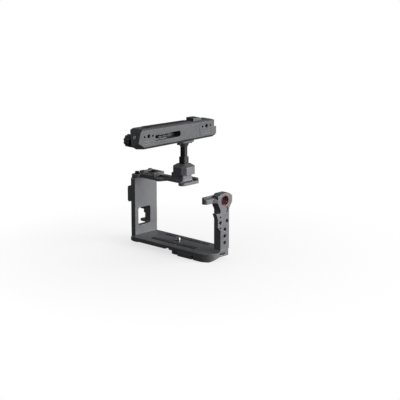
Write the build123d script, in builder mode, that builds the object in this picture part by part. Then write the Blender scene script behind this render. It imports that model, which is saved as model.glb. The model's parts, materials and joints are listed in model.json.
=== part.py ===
"""Camera cage with a post-mounted top handle.

Millimetres, +Z up. +Y is the direction the lens looks, +X is the operator's right.
The origin is the centre of the tripod thread on the underside of the tripod block.
"""

import os
from math import atan2, cos, degrees, sin

from build123d import *

os.makedirs("parts", exist_ok=True)

# ---------------------------------------------------------------- driving dimensions
# camera bay
bay_width = 130.0
bay_height = 78.0
bay_right = 38.6
frame_y = 4.2

# fits and gaps
face_gap = 0.3
thrust_gap = 0.1
running_gap = 0.05
slide_gap = 0.1
screw_gap = 0.1
edge_break = 0.5

# hardware
tapped_radius = 2.55
tapped_depth = 8.0
locating_radius = 1.4
locating_depth = 4.0
locating_pitch = 7.1
m3_radius = 1.5
m3_head_radius = 2.75
m3_head_height = 3.0
m3_key_width = 2.5
m3_grip = 5.0
m4_radius = 2.0
m4_head_radius = 3.5
m4_head_height = 4.0
m4_key_width = 3.0
key_socket_depth = 1.4
hex_sides = 6

# bottom plate
deck_thickness = 5.2
deck_depth = 48.0
deck_step_run = 14.0
deck_step_corner = 2.0
rim_length = 28.4
rim_wall = 5.0
rim_corner_radius = 18.0
upstand_height = 3.3
upstand_front_reach = 9.0
upstand_corner_radius = 4.0
upstand_ramp = 2.6
strap_slot_length = 10.5
strap_slot_height = 3.0
strap_slot_drop = 1.7
strap_slot_fall = 1.6
deck_arch_x = -25.0
deck_arch_length = 7.0
deck_arch_height = 2.0
right_screw_inset = 3.6
right_screw_pitch = 9.2
camera_screw_x = -32.0
camera_screw_radius = 3.1
retainer_radius = 5.0
retainer_thickness = 0.8

# tripod block
block_height = 5.2
block_width = 38.0
block_step_length = 13.0
block_step_depth = 3.0
block_corner_radius = 2.0
block_screw_x = 15.2
block_screw_y = 16.0
insert_radius = 6.0
insert_flange_radius = 7.2
insert_flange_height = 1.2
thread_38_radius = 3.97
small_thread_offset = 13.0

# right side plate
right_thickness = 11.2
upright_width = 15.7
neck_height = 55.0
head_start = 63.5
head_top = 75.2
head_rear_reach = 12.4
head_front_reach = 13.5
head_slope = 4.0
head_slope_run = 6.0
head_fillet = 3.0
lug_reach = 4.9
lug_depth = 6.5
lug_hole_height = 38.7
lug_hole_inset = 0.3
lug_half_height = 5.4
lug_foot_slope = 4.8
lug_fin_reach = 8.0
lug_fin_rise = 12.4
pair_hole_height = 39.4
pair_hole_offset = 3.9
column_first = 11.7
column_pitch = 8.6
column_count = 3
ring_height = 66.1
ring_outer_radius = 7.0
ring_inner_radius = 5.9
ring_depth = 2.4
ring_proud = 0.3
strap_hole_radius = 5.6
scoop_height = 54.5
scoop_offset = 2.6
scoop_half_width = 3.2
scoop_half_height = 4.4
scoop_depth = 1.0
strip_thickness = 0.8
strip_corner_radius = 2.0
side_strip_width = 12.0
side_strip_height = 32.0
seat_strip_width = 7.0
seat_strip_length = 78.0
seat_strip_pitch = 26.0

# hook-shaped arm
arm_width = 7.6
arm_reach = 18.8
arm_bottom = 65.0
arm_height = 8.2
arm_outer_radius = 4.6
arm_inner_radius = 2.4
arm_flare_run = 6.0
arm_slope_width = 4.8
arm_slope_drop = 2.9
arm_slot_length = 13.0
arm_slot_width = 3.4
arm_slot_y = 17.9

# left side plate
left_thickness = 8.0
left_width = 40.0
left_corner_radius = 4.0
left_screw_pitch = 24.0
port_width = 22.0
port_height = 24.0
port_bottom = 12.0
port_rear_wall = 5.8
port_radius = 3.0
rail_center = 54.0
rail_screw_pitch = 24.0
clamp_width = 10.0
clamp_front_margin = 1.2
clamp_screw_pitch = 9.0

# top plate
rim_layer = 3.4
bar_layer = 5.5
lobe_radius = 5.6
left_lobe_x = -92.0
lobe_y = -7.6
scoop_run = 3.0
scoop_y = -2.0
bar_rear = 0.5
bar_front = 8.0
end_pad_length = 14.0
loop_front = 28.5
loop_bar = 6.5
loop_left_x = -78.0
loop_left_limb = 7.0
loop_left_corner = 4.0
loop_right_limb = 4.5
loop_corner_run = 13.0
loop_corner_rise = 12.5
window_right_x = -49.5
window_rear = -3.0
mount_pad_margin = 2.0

# cold shoe
shoe_offset = 27.0
shoe_slot_width = 18.7
shoe_neck_width = 12.8
shoe_slot_height = 2.2
shoe_lip = 1.5
shoe_wall = 2.6
shoe_rear_reach = 15.2
shoe_length = 18.5

# handle mount
post_offset = 60.0
base_left = 18.0
base_right = 3.5
base_rear = 5.7
base_front = 11.8
base_height = 7.0
base_bevel = 1.2
housing_width = 24.6
housing_corner = 5.0
housing_height = 9.6
shoulder_height = 3.4
shoulder_inset = 5.2
bushing_radius = 5.8
bushing_flange_radius = 6.8
bushing_flange_height = 0.8
bushing_lift = 3.2
circlip_cavity = 6.3
post_radius = 4.5
circlip_radius = 6.0
circlip_thickness = 1.0
circlip_groove = 0.7
circlip_mouth = 5.0
post_end_gap = 1.0
mount_pin_radius = 1.5
mount_pin_depth = 3.0
mount_screw_left = 14.6
mount_screw_right = 3.6
mount_screw_front = 2.0
mount_pin_front = 8.4
mount_pin_rear = 3.4
housing_screw_left = 9.2
housing_screw_rear = 2.6
housing_screw_middle = 6.6
housing_screw_front = 8.4

# post and release button
beam_gap = 133.3
shank_width = 9.8
shank_height = 8.6
shank_bevel = 1.2
button_width = 3.4
button_height = 4.6
button_length = 3.0
button_recess = 0.3
button_rise = 4.9
spring_radius = 1.1
spring_wire = 0.22
spring_turns = 4
spring_length = 2.4
post_socket_depth = 6.0

# post flange
flange_radius = 8.0
flange_rear_reach = 12.0
flange_front_reach = 15.0
flange_thickness = 2.0
flange_height = 7.3
flange_screw_sink = 0.5
flange_screw_rear = 8.6
flange_screw_front = 11.5

# handle beam
beam_width = 20.0
beam_rear_reach = 90.2
beam_front_reach = 49.6
beam_rear_height = 25.5
beam_front_height = 23.3
rear_face_low = 4.3
rear_face_high = 22.2
rear_face_run = 5.0
rear_top_run = 9.3
rear_foot_run = 4.0
rear_screw_shift = 0.8
rear_screw_rise = 11.5
rear_screw_head_radius = 2.1
facet_width = 9.1
facet_rise = 4.5
facet_run = 7.4
bevel_top = 1.2
bevel_low = 6.4
rear_cap_thickness = 3.0
front_slope_run = 6.0
front_slope_drop = 1.9
front_foot_run = 4.0
front_foot_rise = 4.7
notch_radius = 6.2
notch_inset = 1.1
notch_rise = 19.5
top_chamfer = 1.8
bottom_chamfer = 3.0
front_cap_width = 14.0
front_cap_length = 7.5
front_cap_low = 8.0
front_cap_height = 12.6
side_slot_rear = 60.4
side_slot_length = 44.6
side_slot_height = 7.4
side_slot_rise = 12.3
side_slot_depth = 11.0
key_shelf_length = 24.0
key_shelf_depth = 5.0
anchor_rise = 15.8
rear_anchor_offset = -71.6
front_anchor_offset = 31.4
groove_width = 0.9
groove_depth = 0.6
groove_length = 18.0
groove_rise = 10.4
groove_pitch = 3.3
panel_length = 28.0
panel_height = 15.0
panel_slant = 4.0
panel_offset = 6.8
panel_rise = 12.2
panel_depth = 0.8
panel_thickness = 0.6
pad_width = 14.0
pad_length = 74.0
pad_thickness = 1.0
pad_start = 13.0
top_hole_start = 6.0
boss_width = 12.8
boss_length = 15.3
boss_height = 3.9
boss_offset = 18.7
boss_slope = 3.3
boss_screw_pitch = 6.0
boss_screw_shift = 1.6
key_width = 3.0
key_arm = 19.0
key_leg = 8.0
key_bend = 3.2
magnet_radius = 2.0
magnet_thickness = 1.5
magnet_pitch = 6.0
magnet_margin = 1.0
knob_offset = -77.8
knob_rise = 8.0
stud_radius = 3.1
stud_depth = 6.0

# side knob
knob_radius = 8.0
knob_thickness = 10.0
knob_flutes = 10
flute_radius = 1.7
washer_radius = 4.5
washer_thickness = 1.0

# camera screw
camera_screw_stick = 4.5
screw_head_radius = 5.2
screw_head_height = 4.0
coin_slot_width = 1.2
coin_slot_depth = 0.8
coin_slot_length = 15.6
retainer_groove = 0.5
ring_wire_radius = 0.7
ring_bend_radius = 6.6
ring_pivot_rise = 1.9
ring_pin_length = 1.3

# left side rail
rail_length = 38.0
rail_width = 21.2
rail_height = 7.0
rail_foot_width = 16.0
rail_foot_height = 2.6
rail_lip = 1.6
rail_notch_width = 5.0
rail_notch_depth = 2.0

# cable clamp
clamp_reach = 12.0
clamp_height = 26.0
clamp_back = 3.2
clamp_shelf = 3.5
clamp_head_height = 1.6
jaw_height = 5.0
jaw_groove_height = 2.0
jaw_travel = 6.0
clamp_stud_radius = 1.5
clamp_knob_radius = 4.8
clamp_knob_height = 6.0
clamp_knob_flutes = 8
clamp_flute_radius = 1.1

# ---------------------------------------------------------------- places that follow
m3_clear = m3_radius + screw_gap
m3_sink = m3_head_radius + screw_gap
m3_blind = m3_grip + screw_gap
m4_clear = m4_radius + screw_gap
m4_sink = m4_head_radius + screw_gap
deck_bottom = block_height
seat_z = deck_bottom + deck_thickness
bay_top = seat_z + bay_height
bay_left = bay_right - bay_width
plate_right = bay_right + right_thickness
left_outer = bay_left - left_thickness
rear_edge = -deck_depth / 2
front_edge = deck_depth / 2
post_x = bay_right - post_offset
rim_top = bay_top + rim_layer
bar_top = bay_top + bar_layer
base_top = bar_top + base_height
housing_top = base_top + housing_height + shoulder_height
axis_place = [(post_x, frame_y)]


def facing_down(x, y, z):
    """Plane whose normal points down, for screws that go in from below."""
    return Plane(origin=(x, y, z), x_dir=(1, 0, 0), z_dir=(0, 0, -1))


def facing_up(x, y, z):
    """Plane whose normal points up, for screws that go in from above."""
    return Plane(origin=(x, y, z), x_dir=(1, 0, 0), z_dir=(0, 0, 1))


def facing_left(x, y, z):
    """Plane whose normal points to -X, for screws that go in from the left."""
    return Plane(origin=(x, y, z), x_dir=(0, 1, 0), z_dir=(-1, 0, 0))


def cap_screw(radius, head_radius, head_height, length, key_width, plane):
    """Socket cap screw: the head's top lies on the plane, the shank runs away from its normal."""
    with BuildPart(mode=Mode.PRIVATE) as screw:
        with BuildSketch(plane.offset(-head_height - length)):
            Circle(radius)
        extrude(amount=length)
        with BuildSketch(plane.offset(-head_height)):
            Circle(head_radius)
        extrude(amount=head_height)
        with BuildSketch(plane):
            RegularPolygon(key_width / 2, hex_sides, major_radius=False)
        extrude(amount=-key_socket_depth, mode=Mode.SUBTRACT)
    return screw.part


def m3_screw(length, plane):
    """M3 cap screw with its head's top on a plane."""
    return cap_screw(m3_radius, m3_head_radius, m3_head_height, length, m3_key_width, plane)


def m4_screw(length, plane):
    """M4 cap screw with its head's top on a plane."""
    return cap_screw(m4_radius, m4_head_radius, m4_head_height, length, m4_key_width, plane)


def bore(plane, places, radius, depth):
    """Cut round holes down from a plane in the part being built."""
    with BuildSketch(plane) as holes:
        with Locations(*places):
            Circle(radius)
    extrude(holes.sketch, amount=-depth, mode=Mode.SUBTRACT)


def fluted_knob(plane, radius, thickness, flutes, flute):
    """Round knob with rounded flutes, standing on a plane."""
    with BuildPart(mode=Mode.PRIVATE) as knob:
        with BuildSketch(plane):
            Circle(radius)
            with PolarLocations(radius + flute / 2, flutes):
                Circle(flute, mode=Mode.SUBTRACT)
        extrude(amount=thickness)
    return knob.part


def save(piece, name):
    """Label a finished piece and write it under its own name."""
    piece.label = name
    export_step(piece, f"parts/{name}.step")


def save_group(pieces, name):
    """Write several identical separate solids as one node."""
    save(Compound(children=pieces), name)


# ---------------------------------------------------------------- bottom plate
upstand_rear = rear_edge + rim_corner_radius
upstand_front = frame_y + upstand_front_reach
upstand_top = seat_z + upstand_height
rim_left = plate_right - rim_length
right_screw_x = bay_right + right_screw_inset
right_screw_places = [(right_screw_x, frame_y + side * right_screw_pitch / 2) for side in (-1, 1)]
left_screw_ys = [frame_y + side * left_screw_pitch / 2 for side in (-1, 1)]
left_screw_places = [(y, deck_bottom + deck_thickness / 2) for y in left_screw_ys]
block_screw_places = [(sx * block_screw_x, sy * block_screw_y) for sx in (-1, 1) for sy in (-1, 1)]
camera_screw_place = [(camera_screw_x, frame_y)]

with BuildPart() as bottom_plate:
    with BuildSketch(Plane.XY.offset(deck_bottom)):
        with BuildLine():
            Polyline(
                (plate_right, upstand_front),
                (plate_right, rear_edge),
                (bay_left, rear_edge),
                (bay_left, front_edge),
                (bay_right - deck_step_run, front_edge),
                (bay_right - deck_step_corner, upstand_front),
                close=True,
            )
        make_face()
    extrude(amount=deck_thickness)
    # deep rim round the rear right corner
    with BuildSketch(Plane.XY):
        with Locations(((plate_right + rim_left) / 2, (rear_edge + upstand_front) / 2)):
            Rectangle(rim_length, upstand_front - rear_edge)
    extrude(amount=deck_bottom)
    rear_corner = (plate_right, rear_edge, seat_z)
    fillet(bottom_plate.edges().filter_by(Axis.Z).sort_by_distance(rear_corner)[0], rim_corner_radius)
    with BuildSketch(Plane.XY) as rim_pocket:
        with Locations((plate_right - rim_wall - rim_length / 2, rear_edge + rim_wall + deck_depth / 2)):
            Rectangle(rim_length, deck_depth)
        inner_corner = (plate_right - rim_wall, rear_edge + rim_wall)
        fillet(rim_pocket.vertices().sort_by_distance(inner_corner)[0], rim_corner_radius - rim_wall)
    extrude(amount=deck_bottom, mode=Mode.SUBTRACT)
    # the rim's lower edge rises to the deck's underside
    with BuildSketch(Plane.YZ.offset(plate_right - rim_corner_radius)):
        with BuildLine():
            Polyline(
                (rear_edge + rim_wall, 0),
                (upstand_rear, deck_bottom),
                (upstand_front, deck_bottom),
                (upstand_front, 0),
                close=True,
            )
        make_face()
    extrude(amount=rim_corner_radius, mode=Mode.SUBTRACT)
    # upstand that carries the right side plate, with a ramp at its rear
    with BuildSketch(Plane.YZ.offset(bay_right)):
        with BuildLine():
            Polyline(
                (upstand_rear, seat_z),
                (upstand_rear + upstand_ramp, upstand_top),
                (upstand_front, upstand_top),
                (upstand_front, seat_z),
                close=True,
            )
        make_face()
    extrude(amount=right_thickness)
    front_corner = (plate_right, upstand_front, seat_z)
    fillet(bottom_plate.edges().filter_by(Axis.Z).sort_by_distance(front_corner)[0], upstand_corner_radius)
    # strap slot from the outer face down to the underside
    with BuildSketch(Plane.YZ.offset(plate_right)):
        with Locations((upstand_rear + edge_break + strap_slot_length / 2, seat_z - strap_slot_drop)):
            SlotOverall(strap_slot_length, strap_slot_height)
    extrude(amount=right_thickness, dir=(-1, 0, -strap_slot_fall), mode=Mode.SUBTRACT)
    # shallow arch in the underside of the rear edge
    with BuildSketch(Plane.XZ.offset(-rear_edge)):
        with Locations((deck_arch_x, deck_bottom)):
            SlotOverall(deck_arch_length, 2 * deck_arch_height)
    extrude(amount=-rim_wall, mode=Mode.SUBTRACT)
    # holes: right side plate, tripod block, left side plate, camera screw
    deck_top = Plane.XY.offset(seat_z)
    bore(Plane.XY.offset(upstand_top), right_screw_places, m3_clear, upstand_top - deck_bottom)
    bore(Plane.XY.offset(deck_bottom + m3_head_height), right_screw_places, m3_sink, m3_head_height)
    bore(deck_top, block_screw_places, m3_radius, deck_thickness)
    bore(Plane.YZ.offset(bay_left + m3_blind), left_screw_places, m3_radius, m3_blind)
    bore(deck_top, camera_screw_place, camera_screw_radius + screw_gap, deck_thickness)
    bore(deck_top, camera_screw_place, retainer_radius + face_gap, retainer_thickness + 2 * face_gap)
save(bottom_plate.part, "bottom_plate")

right_screw_length = deck_thickness + upstand_height - m3_head_height + m3_grip
save_group(
    [m3_screw(right_screw_length, facing_down(x, y, deck_bottom)) for x, y in right_screw_places],
    "right_plate_screws",
)

# ---------------------------------------------------------------- tripod block
block_top = Plane.XY.offset(block_height)
small_threads = [(0, small_thread_offset), (0, -small_thread_offset)]

with BuildPart() as tripod_block:
    with BuildSketch(Plane.XY):
        RectangleRounded(block_width, deck_depth, block_corner_radius)
    extrude(amount=block_height)
    # step in the rear left corner
    with BuildSketch(Plane.XY):
        with Locations(((block_step_length - block_width) / 2, rear_edge + block_step_depth / 2)):
            Rectangle(block_step_length, block_step_depth)
    extrude(amount=block_height, mode=Mode.SUBTRACT)
    bore(block_top, [(0, 0)], insert_radius, block_height)
    bore(block_top, [(0, 0)], insert_flange_radius, insert_flange_height)
    bore(block_top, small_threads, tapped_radius, block_height)
    bore(block_top, block_screw_places, m3_clear, block_height)
    bore(Plane.XY.offset(m3_head_height), block_screw_places, m3_sink, m3_head_height)
save(tripod_block.part, "tripod_block")

block_screw_length = block_height - m3_head_height + m3_grip
save_group(
    [m3_screw(block_screw_length, facing_down(x, y, 0)) for x, y in block_screw_places],
    "block_screws",
)

with BuildPart() as tripod_insert:
    with BuildSketch(Plane.XY):
        Circle(insert_radius)
    extrude(amount=block_height)
    with BuildSketch(Plane.XY.offset(block_height - insert_flange_height)):
        Circle(insert_flange_radius)
    extrude(amount=insert_flange_height)
    bore(block_top, [(0, 0)], thread_38_radius, block_height)
save(tripod_insert.part, "tripod_insert")

# ---------------------------------------------------------------- right side plate
upright_rear = frame_y - upright_width / 2
upright_front = frame_y + upright_width / 2
head_rear = frame_y - head_rear_reach
head_front = frame_y + head_front_reach
lug_z = seat_z + lug_hole_height
lug_hole_y = upright_rear - lug_hole_inset
ring_place = [(frame_y, seat_z + ring_height)]
hole_column = [(frame_y, seat_z + column_first + column_pitch * n) for n in range(column_count)]
pair_hole = [(frame_y + pair_hole_offset, seat_z + pair_hole_height)]
arm_rear = head_rear - arm_reach
arm_low = seat_z + arm_bottom
arm_top = arm_low + arm_height

with BuildPart() as right_side_plate:
    with BuildSketch(Plane.YZ.offset(bay_right)):
        with BuildLine():
            Polyline(
                (upright_rear, upstand_top),
                (upright_rear, seat_z + neck_height),
                (head_rear, seat_z + head_start),
                (head_rear, seat_z + head_top - head_slope),
                (head_rear + head_slope_run, seat_z + head_top),
                (head_front - head_slope_run, seat_z + head_top),
                (head_front, seat_z + head_top - head_slope),
                (head_front, seat_z + head_start),
                (upright_front, seat_z + neck_height),
                (upright_front, upstand_top),
                close=True,
            )
        make_face()
    extrude(amount=right_thickness)
    head_edges = right_side_plate.edges().filter_by(Axis.X).filter_by_position(
        Axis.Z, seat_z + neck_height - edge_break, seat_z + head_top + edge_break
    )
    fillet(head_edges, head_fillet)
    # lug behind the upright, set to the outer face, with a pointed fin at its top
    with BuildSketch(Plane.YZ.offset(plate_right)):
        with BuildLine():
            Polyline(
                (upright_rear, lug_z - lug_half_height - lug_foot_slope),
                (upright_rear - lug_reach, lug_z - lug_half_height),
                (upright_rear - lug_reach, lug_z + lug_half_height),
                (upright_rear - lug_fin_reach, lug_z + lug_fin_rise),
                (upright_rear, lug_z + lug_fin_rise),
                (frame_y, lug_z),
                close=True,
            )
        make_face()
    extrude(amount=-lug_depth)
    # hook-shaped arm that reaches back round the camera's shoulder
    with BuildSketch(Plane.XY.offset(arm_low)):
        with BuildLine():
            Polyline(
                (bay_right, head_rear + head_fillet),
                (bay_right, arm_rear),
                (bay_right + arm_width, arm_rear),
                (bay_right + arm_width, head_rear - arm_flare_run),
                (plate_right, head_rear),
                (plate_right, head_rear + head_fillet),
                close=True,
            )
        make_face()
    extrude(amount=arm_height)
    outer_corner = (bay_right + arm_width, arm_rear, arm_low)
    fillet(right_side_plate.edges().filter_by(Axis.Z).sort_by_distance(outer_corner)[0], arm_outer_radius)
    inner_corner = (bay_right, arm_rear, arm_low)
    fillet(right_side_plate.edges().filter_by(Axis.Z).sort_by_distance(inner_corner)[0], arm_inner_radius)
    # the arm's top falls away to the outside
    slope_start = bay_right + arm_width - arm_slope_width
    slope_end_drop = arm_slope_drop / arm_slope_width * (plate_right - slope_start)
    with BuildSketch(Plane.XZ.offset(-head_rear)):
        with BuildLine():
            Polyline(
                (slope_start, arm_top),
                (plate_right, arm_top - slope_end_drop),
                (plate_right, arm_top),
                close=True,
            )
        make_face()
    extrude(amount=arm_reach, mode=Mode.SUBTRACT)
    # strap slot down through the arm
    with BuildSketch(Plane.XY.offset(arm_low)):
        with Locations(Location((bay_right + arm_width / 2, frame_y - arm_slot_y, 0), (0, 0, 90))):
            SlotOverall(arm_slot_length, arm_slot_width)
    extrude(amount=arm_height, mode=Mode.SUBTRACT)
    # opening for the camera's strap lug, with a seat for the ring
    outside = Plane.YZ.offset(plate_right)
    bore(outside, ring_place, strap_hole_radius, right_thickness)
    bore(outside, ring_place, ring_outer_radius, ring_depth)
    # shallow thumb scoop below the ring
    with BuildSketch(outside):
        with Locations((frame_y + scoop_offset, seat_z + scoop_height)):
            Ellipse(scoop_half_width, scoop_half_height)
    extrude(amount=-scoop_depth, mode=Mode.SUBTRACT)
    # tapped accessory holes, and the two locating holes beside the lug's hole
    bore(outside, hole_column + pair_hole, tapped_radius, right_thickness)
    bore(outside, [(lug_hole_y, lug_z)], tapped_radius, lug_depth)
    locating_places = [(lug_hole_y, lug_z + side * locating_pitch) for side in (-1, 1)]
    bore(outside, locating_places, locating_radius, locating_depth)
    # blind holes for the screws from below
    bore(Plane.XY.offset(upstand_top + m3_blind), right_screw_places, m3_radius, m3_blind)
save(right_side_plate.part, "right_side_plate")

with BuildPart() as lug_ring:
    with BuildSketch(Plane.YZ.offset(plate_right - ring_depth)):
        with Locations(*ring_place):
            Circle(ring_outer_radius)
            Circle(ring_inner_radius, mode=Mode.SUBTRACT)
    extrude(amount=ring_depth + ring_proud)
    chamfer(lug_ring.faces().sort_by(Axis.X)[-1].edges(), ring_proud)
save(lug_ring.part, "lug_ring")

with BuildPart() as side_pad:
    with BuildSketch(Plane.YZ.offset(bay_right)):
        with Locations((frame_y, upstand_top + side_strip_height / 2)):
            RectangleRounded(side_strip_width, side_strip_height, strip_corner_radius)
        with Locations(*hole_column):
            Circle(tapped_radius + face_gap, mode=Mode.SUBTRACT)
    extrude(amount=-strip_thickness)
save(side_pad.part, "side_pad")

seat_strips = []
for strip_y in (frame_y - seat_strip_pitch / 2, frame_y + seat_strip_pitch / 2):
    with BuildPart() as seat_strip:
        with BuildSketch(deck_top):
            with Locations((bay_right - bay_width / 2, strip_y)):
                RectangleRounded(seat_strip_length, seat_strip_width, strip_corner_radius)
        extrude(amount=strip_thickness)
    seat_strips.append(seat_strip.part)
save_group(seat_strips, "seat_pads")

# ---------------------------------------------------------------- left side plate
port_y = frame_y - left_width / 2 + port_rear_wall + port_width / 2
port_z = seat_z + port_bottom + port_height / 2
rail_z = seat_z + rail_center
rail_screw_places = [(frame_y + side * rail_screw_pitch / 2, rail_z) for side in (-1, 1)]
clamp_y = frame_y + left_width / 2 - clamp_front_margin - clamp_width / 2
clamp_screw_places = [(clamp_y, port_z + side * clamp_screw_pitch / 2) for side in (-1, 1)]
top_screw_places = [(left_outer + left_thickness / 2, y) for y in left_screw_ys]

with BuildPart() as left_side_plate:
    with BuildSketch(Plane.YZ.offset(left_outer)):
        with Locations((frame_y, bay_top / 2)):
            RectangleRounded(left_width, bay_top, left_corner_radius)
        with Locations((port_y, port_z)):
            RectangleRounded(port_width, port_height, port_radius, mode=Mode.SUBTRACT)
    extrude(amount=left_thickness)
    chamfer(left_side_plate.faces().sort_by(Axis.X)[0].edges(), edge_break)
    bore(Plane.YZ.offset(bay_left), left_screw_places, m3_clear, left_thickness)
    bore(Plane.YZ.offset(left_outer + m3_head_height), left_screw_places, m3_sink, m3_head_height)
    screw_floor = Plane.YZ.offset(left_outer + m3_blind)
    bore(screw_floor, rail_screw_places + clamp_screw_places, m3_radius, m3_blind)
    bore(Plane.XY.offset(bay_top), top_screw_places, m3_radius, m3_blind)
save(left_side_plate.part, "left_side_plate")

# ---------------------------------------------------------------- top plate
loop_left = bay_right + loop_left_x
window_right = bay_right + window_right_x
loop_right = window_right + loop_right_limb
left_lobe = bay_right + left_lobe_x
right_lobe = loop_right - lobe_radius
pad_left = post_x - base_left - mount_pad_margin
pad_right = post_x + base_right
pad_front = frame_y + base_front
pad_rear = frame_y - base_rear
loop_inner = loop_front - loop_bar
shoe_middle = left_outer + shoe_offset
shoe_width = shoe_slot_width + 2 * shoe_wall
shoe_top = bar_top + shoe_slot_height + shoe_lip
shoe_center_y = frame_y - shoe_rear_reach + shoe_length / 2
lobe_places = [(left_lobe, lobe_y), (right_lobe, lobe_y)]
mount_left_x = post_x - mount_screw_left
mount_right_x = post_x - mount_screw_right
mount_screw_places = [(x, frame_y + mount_screw_front) for x in (mount_left_x, mount_right_x)]
mount_pin_places = [(mount_left_x, frame_y + mount_pin_front), (mount_right_x, frame_y - mount_pin_rear)]

with BuildPart() as top_plate:
    # thin layer: bar, rounded lobes, forward loop and the pad over the left side plate
    with BuildSketch(Plane.XY.offset(bay_top)):
        with BuildLine():
            Polyline(
                (loop_right, loop_front - loop_corner_rise),
                (loop_right, lobe_y),
                (right_lobe, lobe_y - lobe_radius),
                (right_lobe - lobe_radius - scoop_run, scoop_y),
                (left_lobe + lobe_radius + scoop_run, scoop_y),
                (left_lobe, lobe_y - lobe_radius),
                (left_lobe - lobe_radius, scoop_y),
                (left_outer, scoop_y),
                (left_outer, bar_front),
                (loop_left, bar_front),
                (loop_left, loop_front - loop_left_corner),
                (loop_left + loop_left_corner, loop_front),
                (loop_right - loop_corner_run, loop_front),
                close=True,
            )
        make_face()
        with Locations(*lobe_places):
            Circle(lobe_radius)
        with Locations((left_outer + end_pad_length / 2, frame_y)):
            RectangleRounded(end_pad_length, left_width, left_corner_radius)
        # L-shaped window of the loop
        with BuildLine():
            Polyline(
                (window_right, window_rear),
                (pad_right + edge_break, window_rear),
                (pad_right + edge_break, pad_front),
                (loop_left + loop_left_limb, pad_front),
                (loop_left + loop_left_limb, loop_inner),
                (window_right - loop_bar, loop_inner),
                (window_right, loop_inner - loop_bar),
                close=True,
            )
        make_face(mode=Mode.SUBTRACT)
    extrude(amount=rim_layer)
    # thick layer: bar and the pad that carries the handle mount
    with BuildSketch(Plane.XY.offset(bay_top)):
        with BuildLine():
            Polyline(
                (pad_right, pad_front),
                (pad_right, pad_rear),
                (pad_left, pad_rear),
                (pad_left - scoop_run, bar_rear),
                (left_outer, bar_rear),
                (left_outer, bar_front),
                (pad_left, bar_front),
                (pad_left, pad_front),
                close=True,
            )
        make_face()
    extrude(amount=bar_layer)
    # cold shoe with its slot open to the rear
    with BuildSketch(Plane.XY.offset(bay_top)):
        with Locations((shoe_middle, shoe_center_y)):
            Rectangle(shoe_width, shoe_length)
    extrude(amount=shoe_top - bay_top)
    with BuildSketch(Plane.XY.offset(bar_top)):
        with Locations((shoe_middle, shoe_center_y - shoe_wall / 2)):
            Rectangle(shoe_slot_width, shoe_length - shoe_wall)
    extrude(amount=shoe_slot_height, mode=Mode.SUBTRACT)
    with BuildSketch(Plane.XY.offset(bar_top)):
        with Locations((shoe_middle, shoe_center_y - shoe_wall / 2)):
            Rectangle(shoe_neck_width, shoe_length - shoe_wall)
    extrude(amount=shoe_top - bar_top, mode=Mode.SUBTRACT)
    # holes: lobes, left side plate, handle mount
    bore(Plane.XY.offset(rim_top), lobe_places, tapped_radius, rim_layer)
    bore(Plane.XY.offset(bar_top), top_screw_places, m3_clear, bar_layer)
    bore(Plane.XY.offset(bar_top), mount_screw_places, m4_clear, bar_layer)
    bore(Plane.XY.offset(bay_top + m4_head_height), mount_screw_places, m4_sink, m4_head_height)
    bore(Plane.XY.offset(bar_top), mount_pin_places, mount_pin_radius, mount_pin_depth)
save(top_plate.part, "top_plate")

side_length = left_thickness - m3_head_height + m3_grip
left_plate_screws = [m3_screw(side_length, facing_left(left_outer, y, z)) for y, z in left_screw_places]
top_length = rim_layer + m3_grip
top_head_z = rim_top + m3_head_height
left_plate_screws += [m3_screw(top_length, facing_up(x, y, top_head_z)) for x, y in top_screw_places]
save_group(left_plate_screws, "left_plate_screws")

# ---------------------------------------------------------------- handle mount
housing_screw_places = [
    (post_x - housing_screw_left, frame_y - housing_screw_rear),
    (post_x - housing_screw_left, frame_y + housing_screw_middle),
    (post_x, frame_y + housing_screw_front),
]
base_place = (post_x + (base_right - base_left) / 2, frame_y + (base_front - base_rear) / 2)
bushing_bottom = base_top + bushing_lift
housing_lid = Plane.XY.offset(housing_top)
housing_screw_top = Plane.XY.offset(base_top + m3_blind)

with BuildPart() as mount_base:
    with BuildSketch(Plane.XY.offset(bar_top)):
        with Locations(base_place):
            Rectangle(base_left + base_right, base_rear + base_front)
    extrude(amount=base_height)
    chamfer(mount_base.edges().filter_by(Axis.Z), base_bevel)
    left_top = (post_x - base_left, base_place[1], base_top)
    chamfer(mount_base.edges().filter_by(Axis.Y).sort_by_distance(left_top)[0], base_bevel)
    bore(Plane.XY.offset(base_top), housing_screw_places, m3_clear, base_height)
    bore(Plane.XY.offset(bar_top + m3_head_height), housing_screw_places, m3_sink, m3_head_height)
    bore(Plane.XY.offset(bar_top + m3_blind), mount_screw_places, m4_radius, m3_blind)
    bore(Plane.XY.offset(bar_top + mount_pin_depth), mount_pin_places, mount_pin_radius, mount_pin_depth)
save(mount_base.part, "mount_base")

mount_screw_length = bar_layer - m4_head_height + m3_grip
save_group(
    [m4_screw(mount_screw_length, facing_down(x, y, bay_top)) for x, y in mount_screw_places],
    "mount_screws",
)

mount_pins = []
for pin_place in mount_pin_places:
    with BuildPart() as mount_pin:
        with BuildSketch(Plane.XY.offset(bar_top - mount_pin_depth)):
            with Locations(pin_place):
                Circle(mount_pin_radius)
        extrude(amount=2 * mount_pin_depth)
    mount_pins.append(mount_pin.part)
save_group(mount_pins, "mount_pins")

housing_screw_length = base_height - m3_head_height + m3_grip
save_group(
    [m3_screw(housing_screw_length, facing_down(x, y, bar_top)) for x, y in housing_screw_places],
    "housing_screws",
)

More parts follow.
